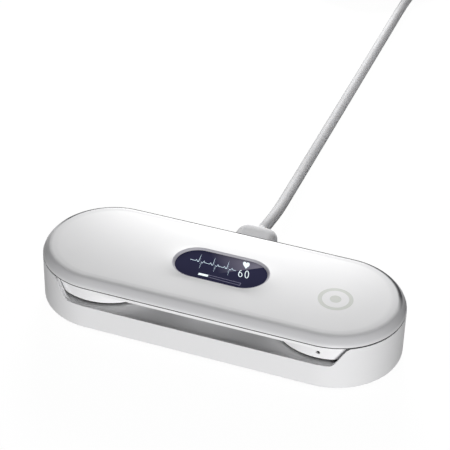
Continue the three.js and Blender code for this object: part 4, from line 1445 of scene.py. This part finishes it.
    def build(self) -> None:
        """Make the monitor's pieces."""
        add, finishes, body = self.shop.add, self.shop.finishes, Body.MONITOR
        add("upper_casing", self.upper_casing(), finishes.casing, body, "top_shell")
        add("lower_casing", self.lower_casing(), finishes.lower_casing, body, "bottom_shell")
        add("display_window", self.lens(), finishes.glass, body, "display_lens")
        add("casing_gasket_lip", self.seal_lip(), finishes.rubber, body)
        for side in SIDES:
            plate, ring = f"electrode_{side}", f"electrode_ring_{side}"
            add(f"thumb_electrode_{side}", disc_for(plate, 0.15, 96), finishes.steel, body, plate)
            add(f"electrode_gasket_{side}", self.gasket(ring), finishes.rubber, body, ring)


@dataclass
class DisplayArtwork:
    """Lit shapes on the display: a heart trace, a heart, a rate and a progress bar.

    Attributes:
        shop: Where its pieces are added.
        lean: Shift along X for each step along Y, as the picture leans.
        thickness: Thickness of the lit layer.
        line: Width of the heart trace.
        stroke: Width of the digits' strokes.
        rule: Width of the bar's outline.
        level: Place along Y of the trace's left end.
        fall: Fall of the trace for each step along X.
        trace_start: Place along X of the trace's left end.
        trace_end: How far the trace goes on past its last beat.
        beats: Middles of the beats along X.
        beat: Points of one beat, from its middle.
        heart_place: Centre of the heart.
        heart_size: Width and height of the heart.
        strokes: Centre, half sizes and angles in degrees of the digits' arcs.
        bar: Left end of the progress bar, end of its filled part, and right end of its outline.
        bar_height: Lower and upper side of the bar.
        bar_fall: Fall of the outline's underside to its right end.
    """

    shop: Workshop
    lean: float = -0.27
    thickness: float = 0.03
    line: float = 0.13
    stroke: float = 0.19
    rule: float = 0.09
    level: float = 0.78
    fall: float = -0.028
    trace_start: float = -9.12
    trace_end: float = 2.1
    beats: tuple[float, ...] = (-6.27, -2.25, 1.71)
    beat: tuple[tuple[float, float], ...] = (
        (-1.35, 0.0), (-1.05, 0.65), (-0.78, -0.15), (-0.42, -0.1), (0.0, 3.25), (0.08, -2.75),
        (0.42, 0.05), (0.72, -0.3), (1.05, 0.65), (1.35, -0.05), (1.6, 0.0),
    )  # fmt: skip
    heart_place: tuple[float, float] = (5.56, 3.87)
    heart_size: tuple[float, float] = (1.86, 3.0)
    strokes: tuple[tuple[tuple[float, float], ...], ...] = (
        ((5.54, -0.72), (0.48, 0.88), (0.0, 360.0)),
        ((5.9, -0.62), (0.84, 1.85), (104.0, 180.0)),
        ((7.12, -0.03), (0.48, 1.5), (0.0, 360.0)),
    )
    bar: tuple[float, float, float] = (-4.78, -2.12, 6.95)
    bar_height: tuple[float, float] = (-4.84, -4.0)
    bar_fall: float = -0.35

    def leaning(self, path: np.ndarray, centre: tuple[float, float]) -> np.ndarray:
        """Shift each point along X by lean times its height above the centre, and put it at the centre."""
        return np.stack([centre[0] + path[:, 0] + self.lean * path[:, 1], centre[1] + path[:, 1]], axis=1)

    def plate(self, outline: np.ndarray) -> Surface:
        """Return a thin plate on the lens, over an outline in the lens plane."""
        top = Box.of("display_lens").top
        rings = [np.column_stack([outline, np.full(len(outline), top + up)]) for up in (0.0, self.thickness)]
        return carried(np.stack(rings))

    def ribbon(self, path: np.ndarray, width: float) -> Surface:
        """Line of even width along a path.

        Each point is moved half of the width to both sides, square to the path's mean direction there, and
        further at a sharp turn.

        Args:
            path: Points of the line.
            width: Width of the line.

        Returns:
            The line's surface.
        """
        step = np.diff(path, axis=0)
        step /= np.linalg.norm(step, axis=1, keepdims=True)
        normal = np.stack([-step[:, 1], step[:, 0]], axis=1)
        before, after = np.vstack([normal[:1], normal]), np.vstack([normal, normal[-1:]])
        mean = before + after
        mean /= np.linalg.norm(mean, axis=1, keepdims=True)
        stretch = np.clip(1 / np.maximum((mean * before).sum(axis=1), 0.4), 1.0, 1.6)[:, None]
        left, right = (path + side * mean * stretch * width / 2 for side in (1, -1))
        low = Box.of("display_lens").top
        corners = np.stack([left, right, right, left], axis=1)
        heights = np.broadcast_to([low, low, low + self.thickness, low + self.thickness], (len(path), 4))
        return carried(np.concatenate([corners, heights[..., None]], axis=-1))

    def trace(self) -> np.ndarray:
        """Heart trace: a baseline with a tall stroke up and down at each beat.

        Returns:
            Points of the trace in the lens plane.
        """
        ends = (self.trace_start, *self.beats, self.beats[-1] + self.trace_end)
        first, *middles, last = [(x, self.level + self.fall * (x - self.trace_start)) for x in ends]
        return np.vstack([[first], *(self.leaning(np.array(self.beat), middle) for middle in middles), [last]])

    def heart(self) -> np.ndarray:
        """Heart outline.

        At angle a it is (16 sin^3 a, 13 cos a - 5 cos 2a - 2 cos 3a - cos 4a), which is 32 wide and 29 high,
        scaled to its size.

        Returns:
            Points of the outline in the lens plane.
        """
        angle = np.linspace(0.0, 2 * np.pi, 60, endpoint=False)
        x = 16 * np.sin(angle) ** 3
        y = 13 * np.cos(angle) - 5 * np.cos(2 * angle) - 2 * np.cos(3 * angle) - np.cos(4 * angle)
        sized = np.stack([x * self.heart_size[0] / 32, y * self.heart_size[1] / 29], axis=1)
        return self.leaning(sized, self.heart_place)[::-1]

    def arc(self, centre: tuple[float, float], half: tuple[float, float], span: tuple[float, float]) -> Surface:
        """Return a stroke along an arc of a leaning oval, between two angles in degrees."""
        angle = np.radians(np.linspace(*span, 40))
        oval = np.stack([half[0] * np.cos(angle), half[1] * np.sin(angle)], axis=1)
        return self.ribbon(self.leaning(oval, centre), self.stroke)

    def build(self) -> None:
        """Make the lit shapes."""
        finishes = self.shop.finishes
        (left, full, right), (bottom, top), fall = self.bar, self.bar_height, self.bar_fall
        filled = np.array([(left, bottom), (full, bottom), (full, top), (left, top)])
        frame = np.array([(full, bottom), (right, bottom + fall), (right, top + fall / 2), (full, top)])
        shapes = {
            "heart_trace": (finishes.trace, self.ribbon(self.trace(), self.line)),
            "heart_symbol": (finishes.lit, self.plate(self.heart())),
            "rate_digits": (finishes.lit, merged([self.arc(*stroke) for stroke in self.strokes])),
            "progress_bar": (finishes.lit, self.plate(filled)),
            "progress_outline": (finishes.dim, self.ribbon(frame, self.rule)),
        }
        for name, (finish, surface) in shapes.items():
            self.shop.add(name, surface, finish, Body.MONITOR)


@dataclass
class Dock:
    """The charging dock: outer wall, tray, feet and contacts.

    Attributes:
        shop: Where its pieces are added.
        plan: Outline of its outer wall.
        wall: Thickness of the outer wall.
        tray_gap: Gap between that wall and the tray.
        tray_wall: Thickness of the tray's wall.
        notch_depth: Depth of the front notch.
        notch_inset: Distance of the notch's ends from the dock's ends.
        notch_shift: Shift of the notch along X.
        notch_rise: Length over which the rim rises at each end of the notch.
        lower_inset: Inset of the outer wall's lower edge.
        lower_rise: Height over which it is drawn in.
        lower_wall: Height of the wall's inside above its lower edge.
        top_fall: Fall of the rim towards the inside, for each step inwards.
        floor_drop: Depth of the tray's floor below the notch.
        top_band: Height of the rim that keeps its shape along the notch.
        tray_bottom: Height of the tray's underside above the ballast's.
        block_gap: How far the platform reaches past the contacts' holder.
        block_rise: Height of the platform above that holder.
        pin_dome: Height of the round tips of the pins.
        plug_gap: Gap between the plug and its opening, on both sides together.
    """

    shop: Workshop
    plan: PlanOutline
    wall: float = 0.8
    tray_gap: float = 0.1
    tray_wall: float = 0.7
    notch_depth: float = 5.65
    notch_inset: float = 8.7
    notch_shift: float = -0.5
    notch_rise: float = 5.2
    lower_inset: float = 0.15
    lower_rise: float = 0.3
    lower_wall: float = 1.4
    top_fall: float = 0.3
    floor_drop: float = 0.5
    top_band: float = 0.4
    tray_bottom: float = 3.8
    block_gap: float = 1.1
    block_rise: float = 0.95
    pin_dome: float = 0.45
    plug_gap: float = 0.6

    @property
    def rim(self) -> float:
        """Height of the full rim."""
        return Box.of("dock_shell").top

    @property
    def floor(self) -> float:
        """Height of the tray's floor, a little below the notch."""
        return self.rim - self.notch_depth - self.floor_drop

    def rim_line(self, x: np.ndarray, y: np.ndarray) -> np.ndarray:
        """Height of the rim: low in the front notch, with a half cosine up to the full rim at each end.

        Args:
            x: Places along X.
            y: Places along Y, which tell the front from the rear.

        Returns:
            Heights of the rim.
        """
        half = self.plan.length / 2 - self.notch_inset
        share = np.clip((np.abs(x - self.notch_shift) - (half - self.notch_rise)) / self.notch_rise, 0.0, 1.0)
        front = self.rim - self.notch_depth * (1 + np.cos(share * np.pi)) / 2
        return np.where(y < 0, front, self.rim)

    def walled(self, profile: np.ndarray, ends: Ends) -> Surface:
        """Carry a wall's profile round the plan, with its top on the rim's line.

        The profile's top band moves down with the rim's line as it is. Heights between the tray's floor and
        that band are squeezed, and lower ones stay.

        Args:
            profile: Insets and heights, as for the full rim.
            ends: How the rings are closed.

        Returns:
            The wall's surface.
        """
        rings = self.plan.rings(profile)
        drop = self.rim - self.rim_line(rings[..., 0], rings[..., 1])
        span = self.rim - self.top_band - self.floor
        rings[..., 2] -= drop * np.clip((rings[..., 2] - self.floor) / span, 0.0, 1.0)
        return carried(rings, ends)

    def outer_wall(self) -> bpy.types.Mesh:
        """Outer wall of the dock, with the socket's opening at its rear.

        Returns:
            The wall's mesh.
        """
        bottom, rim, wall, inset = Box.of("dock_shell").bottom, self.rim, self.wall, self.lower_inset
        outside = [(inset, bottom), (inset * 0.3, bottom + self.lower_rise * 0.4), (0.0, bottom + self.lower_rise)]
        start = (wall, bottom + self.lower_wall)
        path = [start, (wall, bottom), *outside, (0.0, rim), (wall, rim - wall * self.top_fall), start]
        body = self.walled(softened(path, 0.24, 0.06)[:-1], Ends.JOINED)
        return carved("dock_outer_wall", body, [(Cut.TAKE_AWAY, self.tunnel())])

    def tunnel(self) -> Surface:
        """Return the tool that opens the rear wall for the plug."""
        box = Box.of("socket_shell")
        width, height = box.size[[0, 2]] + self.plug_gap
        places = (self.plan.radius - 3.2, self.plan.radius + OVERSHOOT)
        return lofted(np.array([(place, width, height, height * 0.45) for place in places]), 0.0, box.middle[2])

    def platform(self, bottom: float) -> Surface:
        """Raised platform of the contacts, with a soft upper edge.

        Each ring is the outline, shrunk towards its middle by an inset.

        Args:
            bottom: Height of its underside.

        Returns:
            The platform's surface.
        """
        block = Box.of("contact_block")
        half, front = block.high[0] + self.block_gap, block.low[1] - self.block_gap
        rear = self.plan.radius - self.wall - self.tray_gap - self.tray_wall + 0.2
        top = block.top + self.block_rise
        outline = rounded_section(2 * half, rear - front, 0.8)
        outline[:, 1] += (rear + front) / 2
        middle = outline.mean(axis=0)
        rows = [(0.0, bottom), (0.0, top - 0.25), (0.08, top - 0.08), (0.3, top)]
        shrunk = [(middle + (outline - middle) * (1 - inset / half), np.full(len(outline), z)) for inset, z in rows]
        return carried(np.stack([np.column_stack(ring) for ring in shrunk]))

    def tray(self) -> bpy.types.Mesh:
        """Grey tray: floor, wall up to the rim, and the raised platform of the contacts.

        Returns:
            The tray's mesh.
        """
        bottom = Box.of("ballast_left").bottom + self.tray_bottom
        outer = self.wall + self.tray_gap
        inner = outer + self.tray_wall
        tops = [(inset, self.rim - inset * self.top_fall) for inset in (outer, inner)]
        path = [(CORE, bottom), (outer, bottom), *tops, (inner, self.floor), (CORE, self.floor)]
        top = Box.of("contact_block").top + self.block_rise
        holes = [hole_for(f"contact_pin_{side}", 0.3, top - 2.5, top + OVERSHOOT) for side in SIDES]
        tools = [(Cut.ADD, self.platform(bottom + 0.1))]
        tools += [(Cut.TAKE_AWAY, tool) for tool in (*holes, self.tunnel())]
        return carved("dock_inner_tray", self.walled(softened(path, 0.3, 0.075), Ends.FANNED), tools)

    def pin(self, node: str) -> Surface:
        """Sprung contact pin with a round tip.

        Args:
            node: CAD node that it stands for.

        Returns:
            The pin's surface.
        """
        box = Box.of(node)
        radius, rise = box.size[0] / 2, self.pin_dome
        angle = np.linspace(0.0, np.pi / 2, 10)[:-1]
        dome = np.stack([radius * np.cos(angle), box.top - rise + rise * np.sin(angle)], axis=1)
        foot = [(radius * 0.2, box.bottom), (radius, box.bottom)]
        return turned(np.vstack([foot, dome, [(radius * 0.05, box.top)]]), 48).moved(*box.middle[:2])

    def build(self) -> None:
        """Make the dock's pieces."""
        add, finishes = self.shop.add, self.shop.finishes
        add("dock_outer_wall", self.outer_wall(), finishes.dock, Body.DOCK, "dock_shell")
        add("dock_inner_tray", self.tray(), finishes.tray, Body.DOCK, "dock_tray")
        for number in range(1, 5):
            node = f"dock_foot_{number}"
            add(f"rubber_foot_{number}", disc_for(node, 0.2, 48), finishes.rubber, Body.DOCK, node)
        for side in SIDES:
            node = f"contact_pin_{side}"
            add(f"sprung_pin_{side}", self.pin(node), finishes.gold, Body(f"contact_{side}"), node)


@dataclass
class InnerParts:
    """CAD nodes that keep their own shape and take a finish from their record slot.

    Attributes:
        shop: Where their materials come from.
    """

    shop: Workshop

    def build(self, nodes: dict[str, bpy.types.Object], subparts: Sequence[dict[str, str]]) -> None:
        """Give each node its finish.

        Args:
            nodes: The frame's nodes by name.
            subparts: The record's rows of node and material slot.
        """
        by_slot = self.shop.finishes.by_slot()
        for row in subparts:
            materials = nodes[row["node"]].data.materials
            materials.clear()
            materials.append(self.shop.material_of(by_slot[Slot(row["material_slot"])]))


@dataclass
class Lamp:
    """Rectangular area lamp that points at a place.

    Attributes:
        name: Name of the lamp.
        azimuth: Direction that it stands in, in degrees to the right of the front.
        elevation: Height above the horizon, in degrees.
        distance: Distance from its target.
        size: Its width and height.
        power: Power in watts.
        target: Place that it points at.
        glossy: Whether glossy surfaces show it.
    """

    name: str
    azimuth: float
    elevation: float
    distance: float
    size: tuple[float, float]
    power: float
    target: tuple[float, float, float] = (0.0, 0.0, 10.0)
    glossy: bool = True

    def build(self) -> None:
        """Make the lamp."""
        data = bpy.data.lights.new(self.name, "AREA")
        data.shape = "RECTANGLE"
        data.size, data.size_y = (size * MM for size in self.size)
        data.energy = self.power
        lamp = new_object(self.name, data)
        lamp.visible_camera = False
        lamp.visible_glossy = self.glossy
        axes = axes_of(self.azimuth, self.elevation)
        put(lamp, axes, np.array(self.target) + axes[2] * self.distance)


@dataclass
class Studio:
    """Pale floor, plain soft lamps and a white background.

    Attributes:
        lamps: The lamps.
        ambient: Strength of the light from all round.
        floor_light: Colour of the floor's lighter patches.
        floor_dark: Colour of the floor's darker patches.
        floor_patch: Width of those patches.
        floor_size: Side of the floor.
        floor_glow: Strength of the floor's own white, seen by the camera and in gloss.
        floor_gap: Gap between the floor and the feet.
    """

    lamps: tuple[Lamp, ...] = (
        Lamp("rear_lamp", 198.0, 15.0, 800.0, (250.0, 250.0), 6.8),
        Lamp("front_lamp", 19.5, 7.0, 800.0, (300.0, 300.0), 6.7),
        Lamp("lead_lamp", 90.0, 72.0, 90.0, (140.0, 50.0), 0.047, (0.0, 100.0, 4.0), glossy=False),
    )
    ambient: float = 0.06
    floor_light: str = "#4e4e4e"
    floor_dark: str = "#4a4a4a"
    floor_patch: float = 40.0
    floor_size: float = 12000.0
    floor_glow: float = 0.965
    floor_gap: float = 0.02

    def strength(self, tree: Tree, seen: float, others: float, kinds: Sequence[str]) -> Socket:
        """Strength of a white that only some rays see.

        Args:
            tree: Node tree that takes the nodes.
            seen: Strength for rays of these kinds.
            others: Strength for all other rays.
            kinds: Kinds of rays.

        Returns:
            The strength.
        """
        rays = add_node(tree, "LightPath")
        share = either(tree, [rays.outputs[f"Is {kind} Ray"] for kind in kinds])
        return add_node(tree, "MapRange", inputs={"Value": share, "To Min": others, "To Max": seen}).outputs[0]

    def world(self) -> None:
        """Make the world: dim to the object, white to the camera, to gloss and to glass."""
        world = bpy.data.worlds.new("studio_world")
        world.use_nodes = True
        tree = world.node_tree
        tree.nodes.clear()
        strength = self.strength(tree, 1.0, self.ambient, ("Camera", "Transmission", "Glossy"))
        sky = add_node(tree, "Background", inputs={"Color": linear("#ffffff"), "Strength": strength})
        add_node(tree, "OutputWorld", inputs={"Surface": sky.outputs[0]})
        bpy.context.scene.world = world

    def floor(self) -> None:
        """Make the floor: white to the camera but for the object's soft shadow."""
        material, tree = new_tree("pale_floor")
        patches = {FIRST: linear(self.floor_light), SECOND: linear(self.floor_dark)}
        colour = add_node(tree, "Mix", MIX, {SHARE: mottled(tree, self.floor_patch), **patches})
        matt = add_node(tree, "BsdfDiffuse", inputs={"Color": colour.outputs[RESULT]})
        strength = self.strength(tree, self.floor_glow, 0.0, ("Camera", "Glossy"))
        glow = add_node(tree, "Emission", inputs={"Color": linear("#ffffff"), "Strength": strength})
        both = add_node(tree, "AddShader", inputs={0: matt.outputs[0], 1: glow.outputs[0]})
        add_node(tree, "OutputMaterial", inputs={"Surface": both.outputs[0]})
        half = self.floor_size / 2
        plan = ((-half, -half), (half, -half), (half, half), (-half, half))
        corners = np.array([(x, y, -self.floor_gap) for x, y in plan])
        mesh = bpy.data.meshes.new("floor")
        mesh.from_pydata((corners * MM).tolist(), [], [(0, 1, 2, 3)])
        mesh.materials.append(material)
        plane = new_object("floor", mesh)

    def build(self) -> None:
        """Make the world, the floor and the lamps."""
        self.world()
        self.floor()
        for lamp in self.lamps:
            lamp.build()


def main() -> None:
    """Load the frame and dress it."""
    logging.basicConfig(level=logging.INFO, format="%(message)s")
    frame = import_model()
    bpy.context.scene.view_settings.view_transform = "Standard"
    shop = Workshop()
    StudioCamera().build()
    Lead(shop).build()
    dock = Box.of("dock_shell")
    plan = PlanOutline(float(dock.size[0]), float(dock.size[1]))
    Dock(shop, plan).build()
    Monitor(shop, plan).build()
    DisplayArtwork(shop).build()
    InnerParts(shop).build(frame["nodes"], frame["record"]["subparts"])
    Studio().build()


if __name__ == "__main__":
    main()
